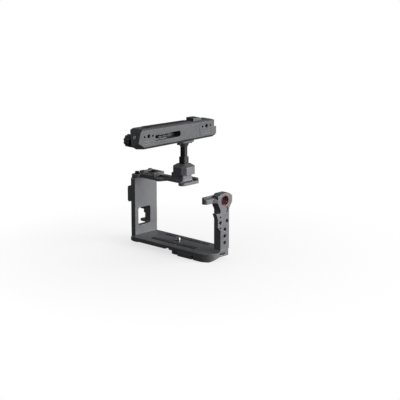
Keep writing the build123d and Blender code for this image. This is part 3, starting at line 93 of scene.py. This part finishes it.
class Bench:
    """Adds and wires the nodes of one material."""

    BEVEL_SAMPLES = 6
    RELIEF_STRENGTH = 0.8
    EDGE_COSINE = 0.86
    FLAT_COSINE = 0.985

    def __init__(self, name: str) -> None:
        """Start an empty material.

        Args:
            name: Name of the material.
        """
        self.material = bpy.data.materials.new(name)
        self.material.use_nodes = True
        self.tree = self.material.node_tree
        self.tree.nodes.clear()
        self.output = self.add("ShaderNodeOutputMaterial")
        self.place = self.add("ShaderNodeTexCoord").outputs["Object"]

    def add(self, kind: str, **settings: object) -> bpy.types.Node:
        """Add one node and set its properties.

        Args:
            kind: Blender's name of the node type.
            **settings: Properties of the node.

        Returns:
            The new node.
        """
        node = self.tree.nodes.new(kind)
        for key, value in settings.items():
            setattr(node, key, value)
        return node

    def wire(self, source: bpy.types.NodeSocket, target: bpy.types.NodeSocket) -> None:
        """Link one socket to another."""
        self.tree.links.new(source, target)

    def noise(
        self, scale: float, detail: float = 3.0, stretch: Point = (1.0, 1.0, 1.0)
    ) -> bpy.types.NodeSocket:
        """Cloudy pattern in the object's own space.

        Args:
            scale: Cells per metre.
            detail: Octaves of finer cloud.
            stretch: Scale of the pattern along each axis.

        Returns:
            The pattern's value, about 0 to 1.
        """
        mapping = self.add("ShaderNodeMapping")
        mapping.inputs["Scale"].default_value = stretch
        self.wire(self.place, mapping.inputs["Vector"])
        node = self.add("ShaderNodeTexNoise")
        node.inputs["Scale"].default_value = scale
        node.inputs["Detail"].default_value = detail
        self.wire(mapping.outputs["Vector"], node.inputs["Vector"])
        return node.outputs["Fac"]

    def pebbles(self, scale: float) -> bpy.types.NodeSocket:
        """Pattern of small rounded cells in the object's own space.

        Args:
            scale: Cells per metre.

        Returns:
            The distance from the nearest cell's middle.
        """
        node = self.add("ShaderNodeTexVoronoi")
        node.inputs["Scale"].default_value = scale
        self.wire(self.place, node.inputs["Vector"])
        return node.outputs["Distance"]

    def spread(
        self,
        value: bpy.types.NodeSocket,
        low: float,
        high: float,
        start: float = 0.3,
        end: float = 0.7,
    ) -> bpy.types.NodeSocket:
        """Map a value from one range to another, clamped.

        Args:
            value: Incoming value.
            low: Result at the range's start.
            high: Result at the range's end.
            start: Start of the incoming range.
            end: End of the incoming range.

        Returns:
            The mapped value.
        """
        node = self.add("ShaderNodeMapRange")
        node.inputs["From Min"].default_value = start
        node.inputs["From Max"].default_value = end
        node.inputs["To Min"].default_value = low
        node.inputs["To Max"].default_value = high
        self.wire(value, node.inputs["Value"])
        return node.outputs["Result"]

    def mix(
        self, factor: bpy.types.NodeSocket, first: Colour | bpy.types.NodeSocket, second: Colour
    ) -> bpy.types.NodeSocket:
        """Blend a colour into another.

        Args:
            factor: Share of the second colour.
            first: Colour, or the socket that gives it.
            second: Colour blended in.

        Returns:
            The mixed colour.
        """
        node = self.add("ShaderNodeMix", data_type="RGBA")
        if isinstance(first, tuple):
            node.inputs["A"].default_value = (*first, 1.0)
        else:
            self.wire(first, node.inputs["A"])
        node.inputs["B"].default_value = (*second, 1.0)
        self.wire(factor, node.inputs["Factor"])
        return node.outputs["Result"]

    def product(
        self, first: bpy.types.NodeSocket, second: bpy.types.NodeSocket
    ) -> bpy.types.NodeSocket:
        """Multiply two values.

        Args:
            first: One value.
            second: The other value.

        Returns:
            Their product.
        """
        node = self.add("ShaderNodeMath", operation="MULTIPLY")
        self.wire(first, node.inputs[0])
        self.wire(second, node.inputs[1])
        return node.outputs["Value"]

    def soft_edges(self, radius: float) -> bpy.types.NodeSocket:
        """Normal that rounds the sharp edges.

        Args:
            radius: Radius of the rounding in metres.

        Returns:
            The rounded normal.
        """
        node = self.add("ShaderNodeBevel", samples=self.BEVEL_SAMPLES)
        node.inputs["Radius"].default_value = radius
        return node.outputs["Normal"]

    def edge_mask(self, radius: float) -> bpy.types.NodeSocket:
        """Mask that is 1 on edges and 0 on flats.

        Args:
            radius: Width of the edge band in metres.

        Returns:
            The mask.
        """
        turned = self.add("ShaderNodeVectorMath", operation="DOT_PRODUCT")
        self.wire(self.soft_edges(radius), turned.inputs[0])
        self.wire(self.add("ShaderNodeNewGeometry").outputs["Normal"], turned.inputs[1])
        return self.spread(turned.outputs["Value"], 1.0, 0.0, self.EDGE_COSINE, self.FLAT_COSINE)

    def relief(
        self, height: bpy.types.NodeSocket, depth: float, normal: bpy.types.NodeSocket
    ) -> bpy.types.NodeSocket:
        """Bump on top of a normal.

        Args:
            height: Height pattern.
            depth: Depth of the relief in metres.
            normal: Normal that the relief starts from.

        Returns:
            The bumped normal.
        """
        node = self.add("ShaderNodeBump")
        node.inputs["Strength"].default_value = self.RELIEF_STRENGTH
        node.inputs["Distance"].default_value = depth
        self.wire(height, node.inputs["Height"])
        self.wire(normal, node.inputs["Normal"])
        return node.outputs["Normal"]

    def shader(self, **values: object) -> bpy.types.Node:
        """Add the surface shader and wire it to the output.

        Args:
            **values: Socket name with underscores for its spaces, and its value or source.

        Returns:
            The shader node.
        """
        node = self.add("ShaderNodeBsdfPrincipled")
        for key, value in values.items():
            socket = node.inputs[key.replace("_", " ")]
            if isinstance(value, bpy.types.NodeSocket):
                self.wire(value, socket)
            else:
                socket.default_value = value
        self.wire(node.outputs["BSDF"], self.output.inputs["Surface"])
        return node


@dataclass(frozen=True)
class AnodisedMetal:
    """Bead-blasted aluminium with a dyed anodised skin, lighter along its edges from real rubbing
    and a painted highlight.
    """

    name: str
    colour: Colour
    cloud: Colour
    # Edge colour: partly rubbed metal, partly a painted highlight where the edges catch the light.
    rubbed_and_highlight: Colour
    roughness: float = 0.48
    smoother_by: float = 0.06
    rougher_by: float = 0.08
    metallic: float = 0.55
    edge_radius: float = 0.00028
    rub_and_highlight_width: float = 1.2
    edge_patch_least: float = 0.25
    edge_patch_most: float = 0.9
    rub_and_highlight_start: float = 0.36
    rub_and_highlight_end: float = 0.64
    cloud_scale: float = 46.0
    edge_patch_scale: float = 420.0
    haze_scale: float = 150.0
    grain_scale: float = 5200.0
    grain_depth: float = 0.000007

    def rubbing_and_highlight(self, bench: Bench) -> bpy.types.NodeSocket:
        """Make the mask of the lighter edges, real rubbing plus painted highlight, patchy along
        their length.

        Args:
            bench: Bench of the material.

        Returns:
            The mask.
        """
        patches = bench.noise(self.edge_patch_scale, detail=5.0)
        patchy = bench.spread(
            patches, self.edge_patch_least, self.edge_patch_most, start=self.rub_and_highlight_start, end=self.rub_and_highlight_end
        )
        return bench.product(bench.edge_mask(self.edge_radius * self.rub_and_highlight_width), patchy)

    def material(self) -> bpy.types.Material:
        """Make the finish.

        Returns:
            The material.
        """
        bench = Bench(self.name)
        clouds = bench.spread(bench.noise(self.cloud_scale, detail=4.0), 0.0, 1.0)
        clouded = bench.mix(clouds, self.colour, self.cloud)
        # The lighter edge colour is partly real rubbing and partly a painted highlight where the
        # edges catch the light.
        colour = bench.mix(self.rubbing_and_highlight(bench), clouded, self.rubbed_and_highlight)
        haze = bench.noise(self.haze_scale, detail=5.0)
        low, high = self.roughness - self.smoother_by, self.roughness + self.rougher_by
        roughness = bench.spread(haze, low, high)
        grain = bench.noise(self.grain_scale, detail=2.0)
        normal = bench.relief(grain, self.grain_depth, bench.soft_edges(self.edge_radius))
        bench.shader(
            Base_Color=colour, Metallic=self.metallic, Roughness=roughness, Normal=normal
        )
        return bench.material


@dataclass(frozen=True)
class MachinedSteel:
    """Turned or ground metal with fine tool marks, bare or black-oxided."""

    name: str
    colour: Colour
    stain: Colour
    bright: Colour
    roughness: float = 0.36
    smoother_by: float = 0.07
    rougher_by: float = 0.1
    edge_radius: float = 0.00018
    rub_radius: float = 0.00022
    edge_patch_least: float = 0.2
    edge_patch_most: float = 0.9
    stain_scale: float = 130.0
    edge_patch_scale: float = 700.0
    mark_scale: float = 900.0
    mark_stretch: Point = (1.0, 1.0, 14.0)
    mark_depth: float = 0.000012

    def material(self) -> bpy.types.Material:
        """Make the finish.

        Returns:
            The material.
        """
        bench = Bench(self.name)
        stains = bench.spread(bench.noise(self.stain_scale, detail=4.0), 0.0, 1.0)
        stained = bench.mix(stains, self.colour, self.stain)
        patchy = bench.spread(bench.noise(self.edge_patch_scale), self.edge_patch_least, self.edge_patch_most)
        worn = bench.product(bench.edge_mask(self.rub_radius), patchy)
        colour = bench.mix(worn, stained, self.bright)
        marks = bench.noise(self.mark_scale, stretch=self.mark_stretch)
        low, high = self.roughness - self.smoother_by, self.roughness + self.rougher_by
        roughness = bench.spread(marks, low, high)
        normal = bench.relief(marks, self.mark_depth, bench.soft_edges(self.edge_radius))
        bench.shader(Base_Color=colour, Metallic=1.0, Roughness=roughness, Normal=normal)
        return bench.material


@dataclass(frozen=True)
class MouldedPolymer:
    """Moulded plastic or rubber with a fine skin texture and dust in its clouds."""

    name: str
    colour: Colour
    dusty: Colour
    roughness: float
    smoother_by: float = 0.08
    rougher_by: float = 0.07
    edge_radius: float = 0.00025
    scuff_radius: float = 0.0003
    dust_most: float = 0.6
    dust_start: float = 0.45
    dust_end: float = 0.75
    dust_scale: float = 90.0
    haze_scale: float = 210.0
    pebble_scale: float = 2600.0
    pebble_depth: float = 0.00004

    def material(self) -> bpy.types.Material:
        """Make the finish.

        Returns:
            The material.
        """
        bench = Bench(self.name)
        clouds = bench.noise(self.dust_scale, detail=6.0)
        dust = bench.spread(clouds, 0.0, self.dust_most, start=self.dust_start, end=self.dust_end)
        dusted = bench.mix(dust, self.colour, self.dusty)
        colour = bench.mix(bench.edge_mask(self.scuff_radius), dusted, self.dusty)
        haze = bench.noise(self.haze_scale, detail=4.0)
        low, high = self.roughness - self.smoother_by, self.roughness + self.rougher_by
        roughness = bench.spread(haze, low, high)
        skin = bench.pebbles(self.pebble_scale)
        normal = bench.relief(skin, self.pebble_depth, bench.soft_edges(self.edge_radius))
        bench.shader(Base_Color=colour, Roughness=roughness, Normal=normal)
        return bench.material


@dataclass
class Finishes:
    """Every finish of the object, made once and handed to the pieces by slot."""

    made: dict[Slot, bpy.types.Material] = field(default_factory=dict)

    def recipes(self) -> dict[Slot, AnodisedMetal | MachinedSteel | MouldedPolymer]:
        """Choose the finish of each slot.

        Returns:
            The finish for each slot.
        """
        return {
            Slot.CAGE_METAL: AnodisedMetal(
                "cage_anodised",
                colour=(0.135, 0.136, 0.142),
                cloud=(0.160, 0.161, 0.168),
                # Lighter edge colour of the cage: partly wear, partly a painted highlight on its
                # edges.
                rubbed_and_highlight=(0.42, 0.42, 0.43),
                edge_radius=0.00055,
            ),
            Slot.HANDLE_METAL: AnodisedMetal(
                "handle_anodised",
                colour=(0.072, 0.073, 0.077),
                cloud=(0.090, 0.091, 0.096),
                rubbed_and_highlight=(0.30, 0.30, 0.31),
                roughness=0.5,
                edge_radius=0.00045,
            ),
            Slot.RED_METAL: AnodisedMetal(
                "red_anodised",
                colour=(0.30, 0.03, 0.055),
                cloud=(0.36, 0.045, 0.07),
                rubbed_and_highlight=(0.50, 0.24, 0.26),
                roughness=0.34,
            ),
            Slot.KNOB_METAL: AnodisedMetal(
                "knob_anodised",
                colour=(0.035, 0.036, 0.040),
                cloud=(0.048, 0.049, 0.053),
                rubbed_and_highlight=(0.24, 0.24, 0.25),
                roughness=0.38,
            ),
            Slot.BLACK_STEEL: MachinedSteel(
                "black_oxide_steel",
                colour=(0.045, 0.045, 0.048),
                stain=(0.07, 0.068, 0.068),
                bright=(0.30, 0.30, 0.31),
            ),
            Slot.BRIGHT_STEEL: MachinedSteel(
                "bright_steel",
                colour=(0.50, 0.50, 0.51),
                stain=(0.43, 0.43, 0.45),
                bright=(0.70, 0.70, 0.71),
                roughness=0.3,
            ),
            Slot.BRONZE: MachinedSteel(
                "bearing_bronze",
                colour=(0.50, 0.34, 0.17),
                stain=(0.38, 0.25, 0.13),
                bright=(0.72, 0.55, 0.32),
            ),
            Slot.RUBBER: MouldedPolymer(
                "black_rubber",
                colour=(0.022, 0.022, 0.023),
                dusty=(0.060, 0.059, 0.057),
                roughness=0.78,
            ),
            Slot.PLASTIC: MouldedPolymer(
                "black_plastic",
                colour=(0.020, 0.020, 0.021),
                dusty=(0.050, 0.050, 0.051),
                roughness=0.5,
                pebble_depth=0.000015,
            ),
        }

    def build(self) -> None:
        """Make all the materials."""
        for slot, recipe in self.recipes().items():
            self.made[slot] = recipe.material()
            LOG.info("finish %s", recipe.name)

    def dress_frame(self) -> None:
        """Give every carried-over node the finish of its slot."""
        for entry in frame["record"]["subparts"]:
            node = frame["nodes"].get(entry["node"])
            if node is None:
                continue
            finish = self.made[Slot(entry["material_slot"])]
            for holder in node.material_slots:
                holder.link = "OBJECT"
                holder.material = finish
            LOG.info("node %s wears %s", entry["node"], finish.name)

    def dress(self, piece: bpy.types.Object, slot: Slot) -> None:
        """Give a new piece its finish.

        Args:
            piece: The piece.
            slot: Its material slot.
        """
        piece.data.materials.clear()
        piece.data.materials.append(self.made[slot])


def finished_piece(name: str, mesh: bmesh.types.BMesh) -> bpy.types.Object:
    """Turn a bmesh into an object at the origin, with its faces outwards.

    Args:
        name: Name of the piece.
        mesh: The shape, which is freed.

    Returns:
        The new object.
    """
    bmesh.ops.recalc_face_normals(mesh, faces=mesh.faces)
    data = bpy.data.meshes.new(name)
    mesh.to_mesh(data)
    mesh.free()
    piece = bpy.data.objects.new(name, data)
    bpy.context.scene.collection.objects.link(piece)
    return piece


def mount_place(name: str) -> Vector:
    """Find where the record places a mount.

    Args:
        name: Name of the mount.

    Returns:
        The mount's place.
    """
    mounts = {mount["name"]: mount for mount in frame["record"]["mounts"]}
    return Vector(mounts[name]["pos_m"])


@dataclass
class RubberStrip:
    """Rubber strip with soft edges and raised cross ribs, on a flat or sloping seat."""

    name: str
    node: str
    body: Rides
    centre: Vector
    along: Vector
    out: Vector
    length: float
    width: float
    height: float
    rib_pitch: float = 0.0024
    rib_share: float = 0.5
    rib_height: float = 0.0002
    base_rounding: float = 0.3
    rib_rounding: float = 0.6

    def block(self, mesh: bmesh.types.BMesh, size: Vector, place: Vector, rounding: float) -> None:
        """Add a block with rounded edges.

        Args:
            mesh: Mesh that gets the block.
            size: Full size along width, length and height.
            place: Centre of the block in the strip's own frame.
            rounding: Bevel width.
        """
        made = bmesh.ops.create_cube(mesh, size=1.0)
        bmesh.ops.scale(mesh, vec=size, verts=made["verts"])
        bmesh.ops.translate(mesh, vec=place, verts=made["verts"])
        edges = list({edge for vert in made["verts"] for edge in vert.link_edges})
        bmesh.ops.bevel(
            mesh,
            geom=edges,
            offset=rounding,
            segments=2,
            profile=0.5,
            affect="EDGES",
            material=-1,
            clamp_overlap=True,
        )

    def build(self) -> bpy.types.Object:
        """Build the strip and seat it. The lower half of each rib is sunk in the strip.

        Returns:
            The finished strip.
        """
        mesh = bmesh.new()
        base = self.height - self.rib_height
        body = Vector((self.width, self.length, base))
        self.block(mesh, body, Vector((0, 0, base / 2)), base * self.base_rounding)
        inset = self.rib_pitch
        count = int((self.length - 2 * inset) / self.rib_pitch)
        rib = Vector((self.width - inset, self.rib_pitch * self.rib_share, self.rib_height * 2))
        for index in range(count):
            step = (index - (count - 1) / 2) * self.rib_pitch
            self.block(mesh, rib, Vector((0, step, base)), self.rib_height * self.rib_rounding)
        across = self.along.cross(self.out)
        turn = Matrix((across, self.along, self.out)).transposed().to_4x4()
        seat = Matrix.Translation(self.centre) @ turn
        bmesh.ops.transform(mesh, matrix=seat, verts=mesh.verts)
        return finished_piece(self.name, mesh)


@dataclass
class RubberStrips:
    """Ribbed rubber: two strips on the deck and one along the handle's top."""

    finishes: Finishes
    deck_strip_width: float = 0.007
    palm_thickness: float = 0.001
    palm_rib_pitch: float = 0.003
    palm_rib_height: float = 0.00035

    def deck_strips(self) -> list[RubberStrip]:
        """Describe the two strips that the camera stands on.

        Returns:
            The rear strip and the front strip.
        """
        low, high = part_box("seat_pads")
        inset = self.deck_strip_width / 2
        rows = (("rear_seat_strip", low.y + inset), ("front_seat_strip", high.y - inset))
        return [
            RubberStrip(
                name=name,
                node="seat_pads",
                body=Rides.CAGE,
                centre=Vector(((low.x + high.x) / 2, y, low.z)),
                along=RIGHT,
                out=UP,
                length=high.x - low.x,
                width=self.deck_strip_width,
                height=high.z - low.z,
            )
            for name, y in rows
        ]

    def palm_strip(self) -> RubberStrip:
        """Describe the strip under the palm, on the handle's sloping top.

        Returns:
            The strip.
        """
        low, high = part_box("palm_pad")
        fall = high.z - low.z - self.palm_thickness
        along = Vector((0, high.y - low.y, -fall)).normalized()
        out = RIGHT.cross(along)
        return RubberStrip(
            name="palm_strip",
            node="palm_pad",
            body=Rides.HANDLE,
            centre=(low + high) / 2 - out * self.palm_thickness / 2,
            along=along,
            out=out,
            length=high.y - low.y,
            width=high.x - low.x,
            height=self.palm_thickness,
            rib_pitch=self.palm_rib_pitch,
            rib_height=self.palm_rib_height,
        )

    def build(self) -> None:
        """Build the strips in place of their plain solids."""
        for strip in (*self.deck_strips(), self.palm_strip()):
            piece = strip.build()
            self.finishes.dress(piece, Slot.RUBBER)
            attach(piece, strip.body.value)
            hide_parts(strip.node)
            LOG.info("piece %s replaces %s", strip.name, strip.node)


@dataclass
class Helix:
    """Screw thread: a V-shaped ridge that runs round a shaft or along the wall of a hole."""

    start: Vector
    axis: Vector
    radius: float
    length: float
    pitch: float = 0.00127
    depth: float = 0.00022
    inward: bool = True
    steps: int = 20
    fewest_steps: int = 4
    half_foot_share: float = 0.4
    sunk_share: float = 0.2

    def add_to(self, mesh: bmesh.types.BMesh) -> None:
        """Add the ridge to a mesh. Its foot is sunk in the wall, and both its ends are closed.

        Args:
            mesh: Mesh that gets the thread.
        """
        axis = self.axis.normalized()
        side = axis.orthogonal().normalized()
        reach = -self.depth if self.inward else self.depth
        half = axis * (self.pitch * self.half_foot_share)
        start = self.start + half
        foot = start + side * (self.radius - reach * self.sunk_share)
        crest = start + side * (self.radius + reach)
        corners = [mesh.verts.new(point) for point in (foot - half, crest, foot + half)]
        profile = [mesh.edges.new(ends) for ends in (corners[:2], corners[1:], corners[::2])]
        cap = mesh.faces.new(corners)
        turns = self.length / self.pitch - 1.0
        count = max(self.fewest_steps, int(turns * self.steps))
        bmesh.ops.spin(
            mesh,
            geom=corners + profile + [cap],
            cent=start,
            axis=axis,
            dvec=axis * (self.pitch / self.steps),
            angle=math.tau * count / self.steps,
            steps=count,
            use_merge=False,
        )


@dataclass
class ScrewThreads:
    """Threads in the tapped holes and on the camera screw, placed from the frame."""

    finishes: Finishes
    quarter_inch: float = 0.00255
    three_eighths: float = 0.00397
    three_eighths_pitch: float = 0.00159
    camera_screw_radius: float = 0.0031
    camera_screw_run: float = 0.0044
    camera_thread_depth: float = 0.00018
    column_pitch: float = 0.0086
    pair_hole_y: float = 0.0081
    pair_hole_z: float = 0.0498
    lug_hole_y: float = -0.00395
    lug_hole_z: float = 0.0491
    lug_depth: float = 0.0065
    lobe_radius: float = 0.0056
    lobe_thickness: float = 0.0034
    anchor_depth: float = 0.008
    top_anchor: Point = (-0.0214, -0.0707, 0.1691)
    top_anchor_axis: Point = (0.0, 0.0177, 0.9998)

    def piece(self, name: str, threads: list[Helix], slot: Slot, body: Rides) -> None:
        """Join threads in one piece, dressed and riding on its body.

        Args:
            name: Name of the piece.
            threads: The threads.
            slot: Material slot.
            body: Body that the piece rides on.
        """
        mesh = bmesh.new()
        for thread in threads:
            thread.add_to(mesh)
        piece = finished_piece(name, mesh)
        self.finishes.dress(piece, slot)
        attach(piece, body.value)
        LOG.info("piece %s with %d threads", name, len(threads))

    def side_threads(self) -> list[Helix]:
        """Threads of the right plate: the column, the hole above it and the rear lug's hole.

        Returns:
            The threads.
        """
        low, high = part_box("right_side_plate")
        wall = high.x - low.x
        middle = mount_place("side_thread_1_4")
        places = [(middle.y, middle.z + step * self.column_pitch) for step in (-1, 0, 1)]
        places.append((self.pair_hole_y, self.pair_hole_z))
        threads = [
            Helix(Vector((high.x, y, z)), -RIGHT, self.quarter_inch, wall) for y, z in places
        ]
        lug_mouth = Vector((high.x, self.lug_hole_y, self.lug_hole_z))
        threads.append(Helix(lug_mouth, -RIGHT, self.quarter_inch, self.lug_depth))
        return threads

    def block_threads(self) -> list[Helix]:
        """Threads of the two smaller holes in the tripod block, before and behind the insert.

        Returns:
            The threads.
        """
        low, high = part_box("tripod_block")
        reach = mount_place("tripod_thread_1_4").y
        mouths = [Vector((0, y, low.z)) for y in (-reach, reach)]
        return [Helix(mouth, UP, self.quarter_inch, high.z - low.z) for mouth in mouths]

    def lobe_threads(self) -> list[Helix]:
        """Threads of the holes in the top plate's two rounded lobes.

        Returns:
            The threads.
        """
        low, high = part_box("top_plate")
        left = mount_place("top_thread_1_4")
        top = low.z + self.lobe_thickness
        mouths = [Vector((x, left.y, top)) for x in (left.x, high.x - self.lobe_radius)]
        return [Helix(mouth, -UP, self.quarter_inch, self.lobe_thickness) for mouth in mouths]

    def insert_thread(self) -> list[Helix]:
        """Thread of the steel insert.

        Returns:
            The thread, alone in a list.
        """
        low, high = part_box("tripod_insert")
        mouth = Vector(((low.x + high.x) / 2, (low.y + high.y) / 2, low.z))
        return [Helix(mouth, UP, self.three_eighths, high.z - low.z, self.three_eighths_pitch)]

    def handle_threads(self) -> list[Helix]:
        """Threads of the handle's two side anchors and its top anchor.

        Returns:
            The threads.
        """
        side_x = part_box("handle_beam")[1].x
        anchors = [mount_place(name) for name in ("handle_rear_anchor", "handle_front_anchor")]
        mouths = [Vector((side_x, anchor.y, anchor.z)) for anchor in anchors]
        ways = [(mouth, -RIGHT) for mouth in mouths]
        ways.append((Vector(self.top_anchor), -Vector(self.top_anchor_axis)))
        return [Helix(mouth, way, self.quarter_inch, self.anchor_depth) for mouth, way in ways]

    def camera_screw_thread(self) -> list[Helix]:
        """Thread of the camera screw's free end.

        Returns:
            The thread, alone in a list.
        """
        low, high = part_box("camera_screw")
        middle = (low + high) / 2
        thread = Helix(
            start=Vector((middle.x, middle.y, high.z - self.camera_screw_run)),
            axis=UP,
            radius=self.camera_screw_radius,
            length=self.camera_screw_run,
            depth=self.camera_thread_depth,
            inward=False,
        )
        return [thread]

    def build(self) -> None:
        """Build all the threads."""
        self.piece("side_threads", self.side_threads(), Slot.CAGE_METAL, Rides.CAGE)
        self.piece("block_threads", self.block_threads(), Slot.CAGE_METAL, Rides.CAGE)
        self.piece("lobe_threads", self.lobe_threads(), Slot.CAGE_METAL, Rides.CAGE)
        self.piece("insert_thread", self.insert_thread(), Slot.BRIGHT_STEEL, Rides.CAGE)
        self.piece("handle_threads", self.handle_threads(), Slot.HANDLE_METAL, Rides.HANDLE)
        self.piece(
            "camera_thread", self.camera_screw_thread(), Slot.BRIGHT_STEEL, Rides.CAMERA_SCREW
        )


@dataclass
class ButtonSpring:
    """Coil spring behind the release button, which the button presses flatter; it is built here at
    rest.
    """

    finishes: Finishes
    wire_radius: float = 0.00022
    wire_sides: int = 10
    turns: int = 4
    steps: int = 24
    pressed_share: float = 0.36

    def build(self) -> None:
        """Build the spring in place of its solid: the wire's round end, spun along the coil."""
        low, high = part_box("button_spring")
        middle = (low + high) / 2
        start = Vector((low.x + self.wire_radius, middle.y, middle.z))
        coil_radius = (high.z - low.z) / 2 - self.wire_radius
        pitch = (high.x - low.x - 2 * self.wire_radius) / self.turns
        mesh = bmesh.new()
        wire_end = start + UP * coil_radius
        place = Matrix.Translation(wire_end) @ Matrix.Rotation(math.pi / 2, 4, "X")
        wire = bmesh.ops.create_circle(
            mesh, cap_ends=True, radius=self.wire_radius, segments=self.wire_sides, matrix=place
        )
        bmesh.ops.spin(
            mesh,
            geom=wire["verts"] + mesh.edges[:] + mesh.faces[:],
            cent=start,
            axis=RIGHT,
            dvec=RIGHT * (pitch / self.steps),
            angle=math.tau * self.turns,
            steps=self.turns * self.steps,
            use_merge=False,
        )
        piece = finished_piece("button_coil", mesh)
        self.finishes.dress(piece, Slot.BRIGHT_STEEL)
        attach(piece, Rides.HANDLE.value)
        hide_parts("button_spring")
        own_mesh(piece)
        LOG.info("piece button_coil replaces button_spring")


@dataclass(frozen=True)
class Lamp:
    """Soft rectangular lamp that faces a point."""

    name: str
    place: Point
    target: Point
    size: tuple[float, float]
    watts: float

    def hang(self) -> None:
        """Hang the lamp in its place."""
        data = bpy.data.lights.new(self.name, "AREA")
        data.shape = "RECTANGLE"
        data.size, data.size_y = self.size
        data.energy = self.watts
        lamp = bpy.data.objects.new(self.name, data)
        facing = (Vector(self.target) - Vector(self.place)).to_track_quat("-Z", "Y")
        lamp.matrix_world = Matrix.Translation(self.place) @ facing.to_matrix().to_4x4()
        bpy.context.scene.collection.objects.link(lamp)


@dataclass
class Studio:
    """Pale floor, soft lamps, white surroundings and the camera."""

    eye: Point = (1.11248, -1.16071, 0.44719)
    looks: Point = (-0.6702, 0.7062, -0.2284)
    up: Point = (-0.1572, 0.1656, 0.9736)
    lens: float = 117.0
    sensor_width: float = 36.0
    farthest: float = 100.0
    floor_radius: float = 30.0
    floor_sides: int = 64
    floor_colour: Colour = (0.93, 0.93, 0.93)
    floor_bounce: Colour = (0.16, 0.16, 0.16)
    white_near: float = 0.7
    white_far: float = 1.0
    white_starts: float = 0.06
    white_ends: float = 0.3
    sky: Colour = (0.95, 0.97, 1.0)
    sky_strength: float = 0.14
    lamps: tuple[Lamp, ...] = (
        Lamp("key", (1.5, 0.75, 0.5), (0.0, 0.0, 0.08), (2.0, 1.2), 64.0),
        Lamp("top", (-0.2, 0.3, 1.2), (0.0, 0.0, 0.1), (0.7, 0.7), 2.5),
        Lamp("fill", (-1.3, -1.0, 0.9), (0.0, 0.0, 0.1), (1.4, 1.0), 3.0),
    )

    def camera(self) -> None:
        """Place the camera and make it the scene's own."""
        data = bpy.data.cameras.new("view")
        data.lens = self.lens
        data.sensor_width = self.sensor_width
        data.clip_end = self.farthest
        camera = bpy.data.objects.new("view", data)
        back = -Vector(self.looks).normalized()
        right = Vector(self.up).cross(back).normalized()
        turn = Matrix((right, back.cross(right), back)).transposed().to_4x4()
        camera.matrix_world = Matrix.Translation(self.eye) @ turn
        bpy.context.scene.collection.objects.link(camera)
        bpy.context.scene.camera = camera
        LOG.info("camera placed")

    def floor(self) -> None:
        """Lay the pale floor, which turns to plain white away from the object.

        The floor is pale to the camera alone: it bounces little light onto the object.
        """
        mesh = bmesh.new()
        bmesh.ops.create_circle(
            mesh, cap_ends=True, radius=self.floor_radius, segments=self.floor_sides
        )
        floor = finished_piece("floor", mesh)
        bench = Bench("pale_floor")
        near = bench.add("ShaderNodeBsdfDiffuse")
        seen = bench.add("ShaderNodeLightPath").outputs["Is Camera Ray"]
        bench.wire(bench.mix(seen, self.floor_bounce, self.floor_colour), near.inputs["Color"])
        far = bench.add("ShaderNodeEmission")
        distance = bench.add("ShaderNodeVectorMath", operation="LENGTH")
        bench.wire(bench.place, distance.inputs[0])
        white = bench.spread(
            distance.outputs["Value"],
            self.white_near,
            self.white_far,
            start=self.white_starts,
            end=self.white_ends,
        )
        blend = bench.add("ShaderNodeMixShader")
        bench.wire(bench.product(white, seen), blend.inputs["Fac"])
        bench.wire(near.outputs["BSDF"], blend.inputs[1])
        bench.wire(far.outputs["Emission"], blend.inputs[2])
        bench.wire(blend.outputs["Shader"], bench.output.inputs["Surface"])
        floor.data.materials.append(bench.material)

    def surroundings(self) -> None:
        """Make the world: white where it is seen directly, soft grey as light."""
        world = bpy.data.worlds.new("surroundings")
        world.use_nodes = True
        nodes = world.node_tree.nodes
        links = world.node_tree.links
        nodes.clear()
        white = nodes.new("ShaderNodeBackground")
        white.inputs["Color"].default_value = (1.0, 1.0, 1.0, 1.0)
        soft = nodes.new("ShaderNodeBackground")
        soft.inputs["Color"].default_value = (*self.sky, 1.0)
        soft.inputs["Strength"].default_value = self.sky_strength
        blend = nodes.new("ShaderNodeMixShader")
        seen = nodes.new("ShaderNodeLightPath").outputs["Is Camera Ray"]
        links.new(seen, blend.inputs["Fac"])
        links.new(soft.outputs["Background"], blend.inputs[1])
        links.new(white.outputs["Background"], blend.inputs[2])
        output = nodes.new("ShaderNodeOutputWorld")
        links.new(blend.outputs["Shader"], output.inputs["Surface"])
        bpy.context.scene.world = world

    def build(self) -> None:
        """Set up the whole studio."""
        bpy.context.scene.view_settings.view_transform = "Standard"
        self.camera()
        self.floor()
        self.surroundings()
        for lamp in self.lamps:
            lamp.hang()
        LOG.info("studio ready with %d lamps", len(self.lamps))


def main() -> None:
    """Build the dressed cage and its studio."""
    logging.basicConfig(level=logging.INFO, format="%(message)s")
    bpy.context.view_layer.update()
    finishes = Finishes()
    finishes.build()
    finishes.dress_frame()
    RubberStrips(finishes).build()
    ScrewThreads(finishes).build()
    ButtonSpring(finishes).build()
    Studio().build()


if __name__ == "__main__":
    main()
